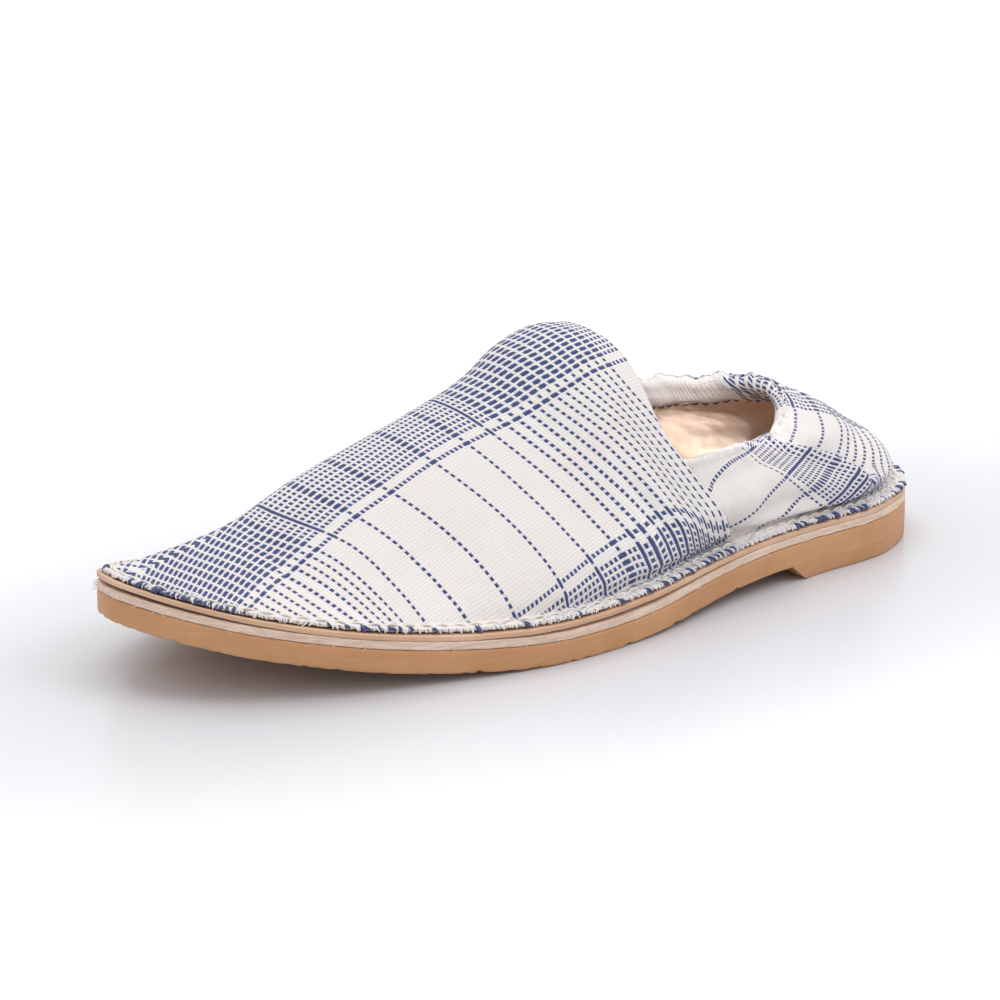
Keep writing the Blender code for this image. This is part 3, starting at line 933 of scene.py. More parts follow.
def shift_throat(net):
    """Slides the net's ends along the cloth to where the hem lies."""
    shift = smooth_table(THROAT_SHIFT)
    for end, step in ((0, 1), (-1, -1)):
        rows_down = down_from_ridge(net[:, end])
        by = np.interp(rows_down, shift["down"], shift["shift"])[:, None]
        away = unit(net[:, end] - net[:, end + 3 * step])
        for number in range(SHIFT_COLUMNS):
            fade = 1.0 - smoothstep(number / SHIFT_COLUMNS)
            net[:, end + number * step] += away * by * fade
    return net


def down_from_ridge(column):
    return distances(column[::-1])[::-1]


def fold_depth(folds, u, v):
    """Height of the soft folds placed on a cloth."""
    depth = np.zeros_like(u)
    for fold in folds:
        from_line = (v - fold.v - fold.lean * (u - fold.u_start)) / fold.width
        run = (u - fold.u_start) / (fold.u_end - fold.u_start)
        window = smoothstep(run / FOLD_END) * smoothstep((1.0 - run) / FOLD_END)
        depth += fold.depth * np.exp(-from_line**2) * window
    return depth


def overhang(height):
    """How the cloth swells out over its turned-out edge: none at the crease, most a little above it."""
    above = np.maximum(height - OVERHANG_LOW, 0.0) / OVERHANG_HIGH
    return smoothstep(height / OVERHANG_LOW) * np.exp(-above**2)


def set_cloth(piece, across, along, row, column):
    """The cloth's thread numbers as a piece's UV map."""
    layer = piece.data.uv_layers.active
    layer.name = "cloth"
    corners = np.empty(len(piece.data.loops), dtype=np.int32)
    piece.data.loops.foreach_get("vertex_index", corners)
    threads = np.column_stack([across[row, column], along[row, column]])[corners]
    layer.data.foreach_set("uv", threads.astype(np.float32).ravel())


def hemmed(net, normals, end):
    """Columns of a hem at a net's end (0 or -1): the fold, and the doubled cloth inside."""
    edge = net[:, end]
    normal = normals[:, end]
    inside = net[:, -2 if end else 1]
    away = unit(edge - inside)
    away = unit(away - normal * (away * normal).sum(1)[:, None])
    roll = [edge + HEM_ROLL * (normal * (np.cos(turn) - 1.0) + away * np.sin(turn))
            for turn in np.linspace(0.0, np.pi, ROLL_COLUMNS + 1)[1:]]
    back = [roll[-1] - away * depth for depth in np.linspace(0.0, HEM_DEPTH, HEM_COLUMNS + 1)[1:]]
    columns = np.array(roll + back).transpose(1, 0, 2)
    return columns if end else columns[:, ::-1]


def chart_mask(chart, number):
    """1 on the threads that a chart dyes."""
    mask = 0.0
    for threads in chart:
        if threads.first == threads.last:
            mask = mask + number.math("COMPARE", float(threads.first), 0.4)
        else:
            inside = (number > threads.first - 0.5) * (number < threads.last + 0.5)
            mask = mask + inside * (((number - float(threads.first)) % float(threads.every)) < 0.5)
    return mask


def crowding(chart, place):
    """1 round the even dyed threads of a chart, -1 round the odd ones."""
    crowd = 0.0
    for threads in chart:
        inside = (place > threads.first - 0.5) * (place < threads.last + 1.5)
        crowd = crowd + inside * (1.0 - 2.0 * (threads.first % 2))
    return crowd


def check_canvas(name, lengthwise, crosswise, fold_over):
    """Plain weave thread by thread: at each crossing the thread on top gives its dye and its height."""
    cloth = Finish(name)
    threads = cloth.node("ShaderNodeUVMap", {"uv_map": "cloth"}, {}).outputs[0]
    split = cloth.node("ShaderNodeSeparateXYZ", {}, {"Vector": threads})
    wobble = cloth.noise(threads, 0.35, 2.0) - 0.5
    across = Value(cloth, split.outputs[0]) + wobble * 0.35
    along = Value(cloth, split.outputs[1]) + wobble * 0.25
    folded = abs(across - 0.5) + 0.5 if fold_over else across
    across = across + crowding(lengthwise, folded) * (across * np.pi).cosine() * DYED_SWELL
    along = along + crowding(crosswise, along) * (along * np.pi).cosine() * DYED_SWELL
    end = across.floor()
    pick = along.floor()
    end_dye = chart_mask(lengthwise, abs(end) if fold_over else end).at_most(1.0)
    pick_dye = chart_mask(crosswise, pick).at_most(1.0)

    # Height of the two threads at a crossing: a round section, and a wave over and under
    end_round = (1.0 - (2.0 * (across - end) - 1.0) ** 2.0).at_least(0.0) ** 0.5
    pick_round = (1.0 - (2.0 * (along - pick) - 1.0) ** 2.0).at_least(0.0) ** 0.5
    end_wave = (1.0 - 2.0 * (end % 2.0)) * ((along - 0.5) * np.pi).cosine()
    pick_wave = (2.0 * (pick % 2.0) - 1.0) * ((across - 0.5) * np.pi).cosine()
    uneven = cloth.noise(threads, 0.8, 2.0) - 0.5
    end_height = end_round + 0.75 * end_wave + DYED_STAND * end_dye + 0.7 * uneven
    pick_height = pick_round + 0.80 * pick_wave + DYED_STAND * pick_dye - 0.7 * uneven
    end_on_top = end_height > pick_height
    height = end_height.at_least(pick_height)

    faded = 1.0 - FLANGE_FADE * cloth.value("ShaderNodeAttribute", {"attribute_name": "flange"}, {}, "Fac")
    dye = (end_on_top * end_dye + (1.0 - end_on_top) * pick_dye) * faded
    dye_below = end_on_top * pick_dye + (1.0 - end_on_top) * end_dye

    # Each thread has its own shade, and fuzz along it
    end_shade = cloth.value("ShaderNodeTexWhiteNoise", {"noise_dimensions": "1D"}, {"W": end + 0.5})
    pick_shade = cloth.value("ShaderNodeTexWhiteNoise", {"noise_dimensions": "1D"}, {"W": pick + 300.5})
    own_shade = end_on_top * end_shade + (1.0 - end_on_top) * pick_shade
    fuzz = cloth.noise(threads, 3.2, 3.0, 0.7)
    slubs = cloth.noise(threads, 0.09, 3.0)
    hollow = height.eased(0.0, 0.9)

    blotches = cloth.noise(cloth.place(), 26.0, 3.0)
    blush = (blotches.eased(0.40, 0.70) * 0.55 + own_shade * 0.25).at_most(1.0)
    white = cloth.mix(blush, CANVAS_WHITE, CANVAS_BLUSH)
    # Painted shade in the weave's hollows, where the threads lie low, with a little random dark fuzz on top
    white = cloth.mix((1.0 - hollow) * 0.45 + (1.0 - fuzz) * 0.10, white, CANVAS_HOLLOW_SHADE)
    white = cloth.mix(dye_below * 0.38, white, CANVAS_TINGED)
    worn = (own_shade * 0.40 + fuzz.eased(0.35, 0.75) * 0.50 + abs(uneven) * 0.8).at_most(1.0)
    colour = cloth.mix(dye, white, cloth.mix(worn, INDIGO, INDIGO_WORN))
    cloth.shader.inputs["Sheen Weight"].default_value = 0.12
    cloth.shader.inputs["Sheen Roughness"].default_value = 0.6
    cloth.shader.inputs["Specular IOR Level"].default_value = 0.25
    return cloth.surface(colour, 0.82 + 0.14 * fuzz, height + fuzz * 0.5 + slubs * 0.6, 0.22, 0.75)


vamp_distance = np.concatenate([
    np.linspace(INNER_THROAT, TOE_DISTANCE, VAMP_HALF + 1),
    np.linspace(TOE_DISTANCE, OUTER_THROAT, VAMP_HALF + 1)[1:],
])
vamp_shape = shift_throat(vamp_rows(vamp_distance))
vamp_normals, ridge_ahead = ridge_frames(vamp_shape, outward_normals(vamp_shape))
vamp_u, vamp_v = flat_cloth(vamp_shape, vamp_normals, ridge_ahead)
vamp_across, vamp_along = vamp_threads(vamp_shape[..., 0], vamp_u)

# Folds, the swelling over the crease, and small puckers where the cloth is drawn in there
row_height = np.arange(len(vamp_shape)) - FLANGE_ROWS
slope_steps = np.linalg.norm(np.diff(vamp_shape, axis=0), axis=2)
slope_height = np.vstack([np.zeros(len(vamp_distance)), np.cumsum(slope_steps, axis=0)])
slope_height = slope_height - slope_height[FLANGE_ROWS]
swelling = VAMP_OVERHANG * smoothstep((vamp_shape[FLANGE_ROWS, :, 0] - SWELL_START) / SWELL_EASE)
pucker_reach = np.exp(-(np.maximum(row_height, 0.0) / PUCKER_ROWS) ** 2) * (row_height > -FLANGE_ROWS)
pucker = np.sin(vamp_distance * 2.0 * np.pi / PUCKER_LENGTH + 2.2 * np.sin(vamp_distance / 13.0))
vamp_lift = fold_depth(VAMP_FOLDS, vamp_u, vamp_v) + PUCKER_DEPTH * pucker_reach[:, None] * pucker[None, :]
vamp_lift += swelling[None, :] * overhang(slope_height)
vamp_lift[-1] = fold_depth(VAMP_FOLDS, np.zeros_like(vamp_v[-1]), vamp_v[-1])
vamp_net = vamp_shape + vamp_normals * vamp_lift[:, :, None]

inner_hem = hemmed(vamp_net, vamp_normals, 0)
outer_hem = hemmed(vamp_net, vamp_normals, -1)
hem_threads = np.linspace(0.0, HEM_DEPTH + np.pi * HEM_ROLL, inner_hem.shape[1] + 1)[1:] / THREAD_ALONG
full_net = np.concatenate([inner_hem, vamp_net, outer_hem], axis=1)
full_across = np.concatenate([
    np.repeat(vamp_across[:, :1], len(hem_threads), axis=1), vamp_across,
    np.repeat(vamp_across[:, -1:], len(hem_threads), axis=1)], axis=1)
full_along = np.concatenate([
    vamp_along[:, :1] + hem_threads[::-1], vamp_along, vamp_along[:, -1:] + hem_threads], axis=1)
vamp, row, column = lay_net("canvas_vamp", full_net)
set_cloth(vamp, full_across, full_along, row, column)
paint(vamp, "flange", np.clip((FLANGE_ROWS + 1.0 - row) / FLANGE_FADE_ROWS, 0.0, 1.0))
close_seams(vamp)
thicken(vamp, CANVAS_THICK)
shade(vamp, 70.0)
vamp_canvas = check_canvas("vamp_canvas", VAMP_LENGTHWISE, VAMP_CROSSWISE, fold_over=True)
place_piece(vamp, vamp_canvas, "check_canvas", "upper")


# Quarter: the same canvas round the heel, its front ends sewn in under the vamp.
# The collar is turned in over an elastic, which gathers it and folds the side over the back.
Rim = namedtuple("Rim", "along across up")
COLLAR = [
    Rim(188.0, 28.5, 42.6),
    Rim(206.0, 21.0, 40.4),
    Rim(219.5, 11.5, 42.4),
    Rim(229.0, -0.5, 46.0),
    Rim(231.5, -9.0, 47.2),
    Rim(228.0, -18.5, 47.2),
    Rim(218.0, -26.0, 47.0),
    Rim(202.0, -29.2, 48.4),
    Rim(184.0, -29.6, 49.2),
]
SIDE_BOW = 6.5
HEEL_BOW = 10.0
JOIN_TURN = 0.36
JOIN_BLEND = 0.15
UNDERLAP = 14.0            # the quarter's ends go this far in under the vamp
UNDERLAP_DEPTH = 2.2
UNDERLAP_EASE = 15.0
QUARTER_COLUMNS = 300
WALL_ROWS = 46
QUARTER_FLANGE_ROWS = 8
CASING_ROLL = 2.3          # radius of the collar's fold
CASING_DEPTH = 9.5
CASING_ROWS = 9
CASING_ROLL_ROWS = 8
CASING_PUFF = 0.22         # how much the gathers swell the collar's fold, and crease the casing below it
CASING_GATHER = 0.25
CASING_SWELL = 1.6
GATHER_HEIGHT = 1.5
GATHER_REACH = 9.0
FINE_GATHER = 0.8
FINE_GATHER_SIZE = 4.4
BROAD_GATHER = 1.6
BROAD_GATHER_SIZE = 8.0
PLAIN_SIDE = 40.0          # the outer side before this has less than half of the gathers
PLAIN_SIDE_EASE = 25.0
PLAIN_SIDE_SHARE = 0.45
TAUT_PLACE = 92.0          # here, at the back, the collar is drawn nearly smooth
TAUT_LENGTH = 14.0
TAUT_SHARE = 0.7
TROUGH_DEPTH = 0.45        # the casing's stitches draw the wall in
TROUGH_WIDTH = 2.0
QUARTER_OVERHANG = 3.2
END_FULLNESS = 0.55        # of the overhang, what is left at the quarter's ends
END_FULLNESS_EASE = 40.0
DRAG_DEPTH = 0.6           # soft drag folds low on the heel
DRAG_HEIGHT = 12.0
DRAG_SPREAD = 8.0
DRAG_START = 6.0
DRAG_ROUND = 7.5
DRAG_UP = 9.0
QUARTER_FADE_ROWS = 4.0
GRAIN_TURN = np.radians(22.0)
HEEL_ROUND = 10.0
LEAN_FADE = 70.0           # from here round the heel the grain's lean dies out
LEAN_FADE_LENGTH = 86.0
FOLD_HIDDEN = 11.0         # cloth lost in the side's fold, across and along
FOLD_TAKE_UP = 5.0
HIDDEN_EASE = 3.0
HIDDEN_SPREAD = 16.0
HIDDEN_FADE = 110.0
HIDDEN_FADE_LENGTH = 80.0
THROAT_EASE = 6.2          # the check bends up under the vamp by this much
THROAT_EASE_LOW = 5.0
THROAT_EASE_HEIGHT = 25.0
THROAT_EASE_LENGTH = 34.0
INNER_EASE = 7.0           # and lies lower on the inner side
INNER_EASE_LENGTH = 25.0
QUARTER_LENGTHWISE = [
    Threads(38, 38, 1),
    Threads(42, 70, 2),
    Threads(74, 74, 1),
    Threads(106, 128, 2),
    Threads(154, 182, 2),
    Threads(186, 186, 1),
]
QUARTER_CROSSWISE = [
    Threads(-96, -16, 4),
    Threads(-7, -7, 1),
    Threads(4, 4, 1),
    Threads(20, 20, 1),
]
# Soft folds: height up the wall, from and to round the heel
QUARTER_FOLDS = [
    Fold(6.5, 4.0, 50.0, 0.06, 3.0, -1.3),
    Fold(12.5, 2.0, 42.0, 0.18, 4.5, 0.8),
    Fold(21.0, 6.0, 46.0, 0.14, 5.0, -0.6),
    Fold(30.0, 66.0, 98.0, -0.15, 5.0, 0.8),
    Fold(20.0, 70.0, 104.0, -0.10, 5.0, -0.8),
    Fold(16.0, 120.0, 190.0, 0.05, 5.0, -0.8),
    Fold(26.0, 112.0, 176.0, -0.04, 6.0, 0.6),
]
# Line of the side's fold over the back, by distance round and height up the wall
FOLD_LINE = [(50.0, 40.0), (53.0, 35.0), (59.6, 29.0), (65.0, 20.5), (65.0, 11.0), (63.0, 5.0)]
FOLD_STAND = 2.2
FOLD_CREST = 2.0           # the fold stands highest this far before its line
FOLD_WIDTH = 4.0
FOLD_LOW = 2.0
FOLD_LOW_EASE = 9.0
FOLD_TUCK = 4.2
TUCK_START = 0.6
TUCK_EASE = 2.6
TUCK_LENGTH = 7.0
UNDERLAP_SINK = 1.0


def wall_points(crease, rim, out, bow, share):
    """Points on the quarter's wall: a quadratic curve bowed outwards between crease and rim."""
    chord = rim - crease
    level = np.column_stack([out, np.zeros(len(out))])
    square = unit(level - chord * ((level * chord).sum(1) / (chord * chord).sum(1))[:, None])
    control = 0.5 * (crease + rim) + square * np.reshape(bow, (-1, 1))
    return crease * (1 - share) ** 2 + control * 2 * share * (1 - share) + rim * share**2


def quarter_rows(distance):
    """Net of the quarter's outer face, from the raw edge up to the rim."""
    points, out = edge_at(distance)
    crease = flange_points(points, out, 1.0)
    round_heel = (distance - OUTER_THROAT) / (INNER_THROAT + ROUND - OUTER_THROAT)
    behind = np.clip(round_heel, 0.0, 1.0)
    ends, ends_out = edge_at(np.array([OUTER_THROAT, INNER_THROAT + ROUND]))
    end_crease = flange_points(ends, ends_out, 1.0)
    throat = np.ones(2)
    joins = slope_points(end_crease, throat, JOIN_TURN)
    rim_curve = smooth_curve([joins[0]] + [list(row) for row in COLLAR] + [joins[1]], closed=False)
    rim_share = distances(rim_curve) / distances(rim_curve)[-1]
    rim = np.column_stack([np.interp(behind, rim_share, axis) for axis in rim_curve.T])
    bow = SIDE_BOW + (HEEL_BOW - SIDE_BOW) * np.sin(np.pi * behind) ** 2
    toe_share = from_toe(np.where(distance > ROUND, distance - ROUND, distance))
    under_vamp = (round_heel < 0.0) | (round_heel > 1.0)

    rows = [flange_points(points, out, share) for share in np.linspace(0.0, 1.0, QUARTER_FLANGE_ROWS + 1)]
    for share in np.linspace(0.0, 1.0, WALL_ROWS + 1)[1:]:
        place = wall_points(crease, rim, out, bow, share)
        joined = slope_points(end_crease, throat, share * JOIN_TURN)
        plain = wall_points(end_crease, joins, ends_out, SIDE_BOW, share)
        for end, away in ((0, behind), (1, 1.0 - behind)):
            place = place + (joined[end] - plain[end]) * (1.0 - smoothstep(away / JOIN_BLEND))[:, None]
        hidden = slope_points(crease, np.minimum(toe_share, 1.0), share * JOIN_TURN)
        rows.append(np.where(under_vamp[:, None], hidden, place))
    return np.array(rows)


def from_fold(round_crease, height):
    """Distance round the heel behind the side's fold line, at a height up the wall."""
    line = smooth_curve(FOLD_LINE, closed=False)
    return round_crease - np.interp(height, line[::-1, 1], line[::-1, 0])


def quarter_threads(round_crease, height, total, hidden):
    """Thread numbers on the quarter, whose grain leans back on the outer side only."""
    side = 0.5 * total - np.hypot(0.5 * total - round_crease, HEEL_ROUND)
    lean = 1.0 - smoothstep((round_crease - LEAN_FADE) / LEAN_FADE_LENGTH)
    across = round_crease * np.cos(GRAIN_TURN) + height * lean * np.sin(GRAIN_TURN) + FOLD_HIDDEN * hidden
    along = height * np.cos(GRAIN_TURN) - side * np.sin(GRAIN_TURN) - FOLD_TAKE_UP * hidden
    eased = np.maximum(height - THROAT_EASE_LOW, 0.0) / THROAT_EASE_HEIGHT
    along = along - THROAT_EASE * eased * (1.0 - smoothstep(round_crease / THROAT_EASE_LENGTH))
    along = along + INNER_EASE * smoothstep((round_crease - 0.5 * total) / INNER_EASE_LENGTH)
    return across / THREAD_ACROSS, along / THREAD_ALONG


quarter_start = OUTER_THROAT - UNDERLAP
quarter_end = INNER_THROAT + ROUND + UNDERLAP
quarter_distance = np.linspace(quarter_start, quarter_end, QUARTER_COLUMNS + 1)
quarter_shape = quarter_rows(quarter_distance)
quarter_normals = outward_normals(quarter_shape)
crease_round = distances(quarter_shape[QUARTER_FLANGE_ROWS])
crease_round = crease_round - np.interp(OUTER_THROAT, quarter_distance, crease_round)
crease_total = np.interp(INNER_THROAT + ROUND, quarter_distance, crease_round)
wall_steps = np.linalg.norm(np.diff(quarter_shape, axis=0), axis=2)
wall_height = np.vstack([np.zeros(QUARTER_COLUMNS + 1), np.cumsum(wall_steps, axis=0)])
wall_height = wall_height - wall_height[QUARTER_FLANGE_ROWS]
below_rim = wall_height[-1] - wall_height
crease_rounds = np.repeat(crease_round[None, :], len(quarter_shape), axis=0)

# Gathers along the elastic, dying out down the wall
gather_line = np.column_stack([crease_round, np.zeros_like(crease_round)])
gathers = FINE_GATHER * wander(gather_line, FINE_GATHER_SIZE, 61.0)
gathers = gathers + BROAD_GATHER * wander(gather_line, BROAD_GATHER_SIZE, 67.0)
past_side = smoothstep((crease_round - PLAIN_SIDE) / PLAIN_SIDE_EASE)
gathers = gathers * (PLAIN_SIDE_SHARE + (1.0 - PLAIN_SIDE_SHARE) * past_side)
gathers = gathers * (1.0 - TAUT_SHARE * np.exp(-((crease_round - TAUT_PLACE) / TAUT_LENGTH) ** 2))
gather_reach = np.exp(-(below_rim / GATHER_REACH) ** 2)
stitch_trough = -TROUGH_DEPTH * np.exp(-((below_rim - CASING_DEPTH) / TROUGH_WIDTH) ** 2)
quarter_lift = GATHER_HEIGHT * gather_reach * gathers[None, :] + stitch_trough
# The side stands over the back along its fold
behind_fold = from_fold(crease_rounds, wall_height)
fold_reach = smoothstep((wall_height - FOLD_LOW) / FOLD_LOW_EASE)
quarter_lift += fold_reach * FOLD_STAND * np.exp(-((behind_fold + FOLD_CREST) / FOLD_WIDTH) ** 2)
tuck_fade = np.exp(-np.maximum(behind_fold - FOLD_CREST, 0.0) / TUCK_LENGTH)
quarter_lift -= fold_reach * FOLD_TUCK * smoothstep((behind_fold + TUCK_START) / TUCK_EASE) * tuck_fade
# Soft drag folds low on the heel, and the ends tucked in under the vamp
drag = np.sin(crease_rounds / DRAG_ROUND + wall_height / DRAG_UP)
drag_reach = np.exp(-((wall_height - DRAG_HEIGHT) / DRAG_SPREAD) ** 2)
quarter_lift += DRAG_DEPTH * smoothstep(wall_height / DRAG_START) * drag * drag_reach
quarter_lift += fold_depth(QUARTER_FOLDS, crease_rounds, wall_height)
tucked = np.minimum(crease_round, crease_total - crease_round)
fullness = END_FULLNESS + (1.0 - END_FULLNESS) * smoothstep(tucked / END_FULLNESS_EASE)
quarter_lift += QUARTER_OVERHANG * overhang(wall_height) * fullness[None, :]
quarter_lift -= UNDERLAP_DEPTH * (1.0 - smoothstep(tucked / UNDERLAP_EASE))[None, :]
quarter_lift[:QUARTER_FLANGE_ROWS] = np.where(tucked < 0.0, -UNDERLAP_SINK, 0.0)[None, :]
quarter_net = quarter_shape + quarter_normals * quarter_lift[:, :, None]

# The collar's fold, and the casing's inner side hanging down from it
rim_normal = quarter_normals[-1]
rim_up = unit(quarter_net[-1] - quarter_net[-4])
rim_up = unit(rim_up - rim_normal * (rim_up * rim_normal).sum(1)[:, None])
rim_edge = quarter_net[-1] - rim_up * CASING_ROLL
quarter_net[-1] = rim_edge
quarter_net[-2] = 0.5 * (quarter_net[-3] + rim_edge)
puff = (1.0 + CASING_PUFF * gathers)[:, None]
casing = [rim_edge + CASING_ROLL * puff * (rim_normal * (np.cos(turn) - 1.0) + rim_up * np.sin(turn))
          for turn in np.linspace(0.0, np.pi, CASING_ROLL_ROWS + 1)[1:]]
casing_end = casing[-1]
for depth in np.linspace(0.0, CASING_DEPTH, CASING_ROWS + 1)[1:]:
    turn = np.pi * depth / CASING_DEPTH
    swell = CASING_SWELL * np.sin(turn) + CASING_GATHER * gathers * np.cos(0.5 * turn)
    casing.append(casing_end - rim_up * depth - rim_normal * np.reshape(swell, (-1, 1)))
casing = np.array(casing)
full_net = np.concatenate([quarter_net, casing], axis=0)
casing_height = wall_height[-1] + np.cumsum(
    np.full(len(casing), (np.pi * CASING_ROLL + CASING_DEPTH) / len(casing)))[:, None]
full_height = np.concatenate([wall_height, casing_height], axis=0)
full_round = np.repeat(crease_round[None, :], len(full_net), axis=0)
hidden_above = fold_reach * smoothstep((behind_fold + TUCK_START) / HIDDEN_EASE)
hidden_cloth = np.maximum(hidden_above, smoothstep(behind_fold / HIDDEN_SPREAD))
hidden_cloth = hidden_cloth * (1.0 - smoothstep((crease_rounds - HIDDEN_FADE) / HIDDEN_FADE_LENGTH))
full_hidden = np.concatenate([hidden_cloth, np.repeat(hidden_cloth[-1:], len(casing), axis=0)], axis=0)
quarter_across, quarter_along = quarter_threads(full_round, full_height, crease_total, full_hidden)
quarter, row, column = lay_net("canvas_quarter", full_net)
set_cloth(quarter, quarter_across, quarter_along, row, column)
paint(quarter, "flange", np.clip((QUARTER_FLANGE_ROWS + 1.0 - row) / QUARTER_FADE_ROWS, 0.0, 1.0))
thicken(quarter, CANVAS_THICK)
shade(quarter, 70.0)
quarter_canvas = check_canvas("quarter_canvas", QUARTER_LENGTHWISE, QUARTER_CROSSWISE, fold_over=False)
place_piece(quarter, quarter_canvas, "check_canvas", "upper")


# Linings: soft tan suede glued inside the vamp and the quarter.
# The quarter's lining stops short of the casing, and its free edge waves.
LINING_THICK = 0.45
VAMP_LINING_DEPTH = 2.1
QUARTER_LINING_DEPTH = 2.4
LINING_TAN = (0.860, 0.660, 0.510)
LINING_PINK = (0.920, 0.760, 0.630)
# Colour of the painted shade inside the shoe, and of the nap's darker streaks
LINING_SHADE = (0.560, 0.345, 0.215)
LINING_WRINKLE = 1.0
WRINKLE_SIZE = 9.0
FINE_WRINKLE_SIZE = 4.0
WRINKLE_LEVEL = 0.6
LINING_EDGE = 8.2
EDGE_WAVE = 0.9
EDGE_STAND = 1.3           # how far the free edge stands in from the wall, and curls on from there
LINING_SKIP = 3            # rows left out beside the crease
THROAT_SKIP = 2            # columns left out beside the throat
THROAT_SHADE_LENGTH = 18.0       # painted shade, dark this far back from the throat
THROAT_SHADE_EASE = 42.0


def suede(name):
    """Napped leather: clouds of lighter and darker nap, darker streaks, painted shade from a vertex
    attribute, and no shine.
    """
    nap = Finish(name)
    place = nap.place()
    clouds = nap.noise(place, 60.0, 4.0, 0.6)
    fibres = nap.noise(place, 1400.0, 3.0, 0.7)
    rubbed_and_shaded = nap.noise(nap.place((40.0, 120.0, 120.0)), 1.0, 3.0)
    colour = nap.mix(clouds.eased(0.32, 0.68), LINING_TAN, LINING_PINK)
    # Painted shade: where a vertex attribute says, the nap darkens towards the shade colour; noise adds
    # darker streaks too
    shaded = nap.value("ShaderNodeAttribute", {"attribute_name": "rubbed_and_shaded"}, {}, "Fac")
    colour = nap.mix((rubbed_and_shaded.eased(0.55, 0.80) * 0.25 + shaded * 0.75).at_most(1.0), colour, LINING_SHADE)
    nap.shader.inputs["Sheen Weight"].default_value = 0.05
    nap.shader.inputs["Specular IOR Level"].default_value = 0.08
    return nap.surface(colour, 0.85 + 0.10 * fibres, fibres + clouds * 0.6, 0.20, 0.5)


suede_tan = suede("suede_lining")
vamp_lining_net = vamp_shape - vamp_normals * VAMP_LINING_DEPTH
vamp_lining_net = vamp_lining_net[FLANGE_ROWS + LINING_SKIP:, THROAT_SKIP:-THROAT_SKIP]
vamp_lining, row, column = lay_net("suede_vamp_lining", vamp_lining_net)
# Painted shade over all of the vamp's lining, deep inside the shoe
paint(vamp_lining, "rubbed_and_shaded", np.ones(len(row)))
close_seams(vamp_lining)
thicken(vamp_lining, LINING_THICK)
shade(vamp_lining, 60.0)
place_piece(vamp_lining, suede_tan, "check_canvas", "upper")

wall = QUARTER_FLANGE_ROWS + LINING_SKIP
smooth_lift = quarter_lift - GATHER_HEIGHT * gather_reach * gathers[None, :]
inside = (smooth_lift - QUARTER_LINING_DEPTH)[:, :, None]
quarter_lining_net = (quarter_shape + quarter_normals * inside)[wall:]
# The free top edge: cut back below the rim, and waving in from the wall
edge_wave = EDGE_WAVE * np.sin(crease_round / 3.1 + 1.4 * np.sin(crease_round / 8.0))
top = quarter_lining_net[-1] - rim_up * (LINING_EDGE + edge_wave)[:, None]
share = np.linspace(0.0, 1.0, len(quarter_lining_net))[:, None, None]
drawn_down = quarter_lining_net - (quarter_lining_net[-1] - top)[None] * share**1.5
curl = (0.5 + 0.5 * np.sin(crease_round / 2.7 + 1.1 * np.sin(crease_round / 6.0)))[None, :, None] * share**6
quarter_lining_net = drawn_down - quarter_normals[wall:] * (EDGE_STAND + EDGE_STAND * curl) * share**3
crumple_place = np.stack([crease_rounds, wall_height], axis=2)[wall:]
crumple = wander(crumple_place, WRINKLE_SIZE, 71.0) + 0.4 * wander(crumple_place, FINE_WRINKLE_SIZE, 77.0)
crumple = LINING_WRINKLE * (crumple - WRINKLE_LEVEL)
quarter_lining_net = quarter_lining_net + quarter_normals[wall:] * crumple[:, :, None]
quarter_lining, row, column = lay_net("suede_quarter_lining", quarter_lining_net)
# Painted shade on the quarter's lining, full at its ends by the throat and fading back round the heel
paint(quarter_lining, "rubbed_and_shaded", 1.0 - smoothstep((tucked - THROAT_SHADE_LENGTH) / THROAT_SHADE_EASE)[column])
thicken(quarter_lining, LINING_THICK)
shade(quarter_lining, 60.0)
place_piece(quarter_lining, suede_tan, "check_canvas", "upper")


# Sewing and fraying: thread ends stand out of the cloth's raw edge all round, in the dye of the threads
# they end, and a pale waxed running stitch holds the turned-out edge down.
Stitch = namedtuple("Stitch", "long gap first last rise dip radius")
EDGE_STITCH = Stitch(3.4, 1.5, 1.0, 0.0, 0.55, 0.15, 0.34)
STITCH_SHARE = 0.52        # where the stitches run, from raw edge to crease
THREAD_SMOOTH = 80.0
FRAY_PITCH = 0.55
FRAY_UNEVEN = 0.25
FRAY_LENGTH = 1.05
FRAY_RADIUS = 0.30
FRAY_TAPER = 0.35
FRAY_ROOT = 0.9
STITCH_CREAM = (0.720, 0.660, 0.560)
FRAY_PALE = (0.690, 0.680, 0.700)
HEEL_TUFT_SIZE = 1.9       # round the heel, blue tufts lie unevenly, in about this size
HEEL_TUFT_SHARE = 0.16


def thread_form(sides, rings):
    """A straight thread of unit length and radius along +Z: a circle, extruded ring by ring and closed."""
    bpy.ops.object.select_all(action="DESELECT")
    bpy.ops.mesh.primitive_circle_add(vertices=sides, radius=1.0, fill_type="NGON")
    form = bpy.context.object
    bpy.ops.object.mode_set(mode="EDIT")
    bpy.ops.mesh.select_all(action="SELECT")
    for _ in range(rings):
        bpy.ops.mesh.extrude_region_move(TRANSFORM_OT_translate={"value": (0.0, 0.0, 1.0 / rings)})
    bpy.ops.mesh.select_all(action="SELECT")
    bpy.ops.mesh.normals_make_consistent(inside=False)
    bpy.ops.object.mode_set(mode="OBJECT")
    places = np.array([vertex.co for vertex in form.data.vertices])
    faces = [list(polygon.vertices) for polygon in form.data.polygons]
    bpy.data.objects.remove(form)
    return places, faces


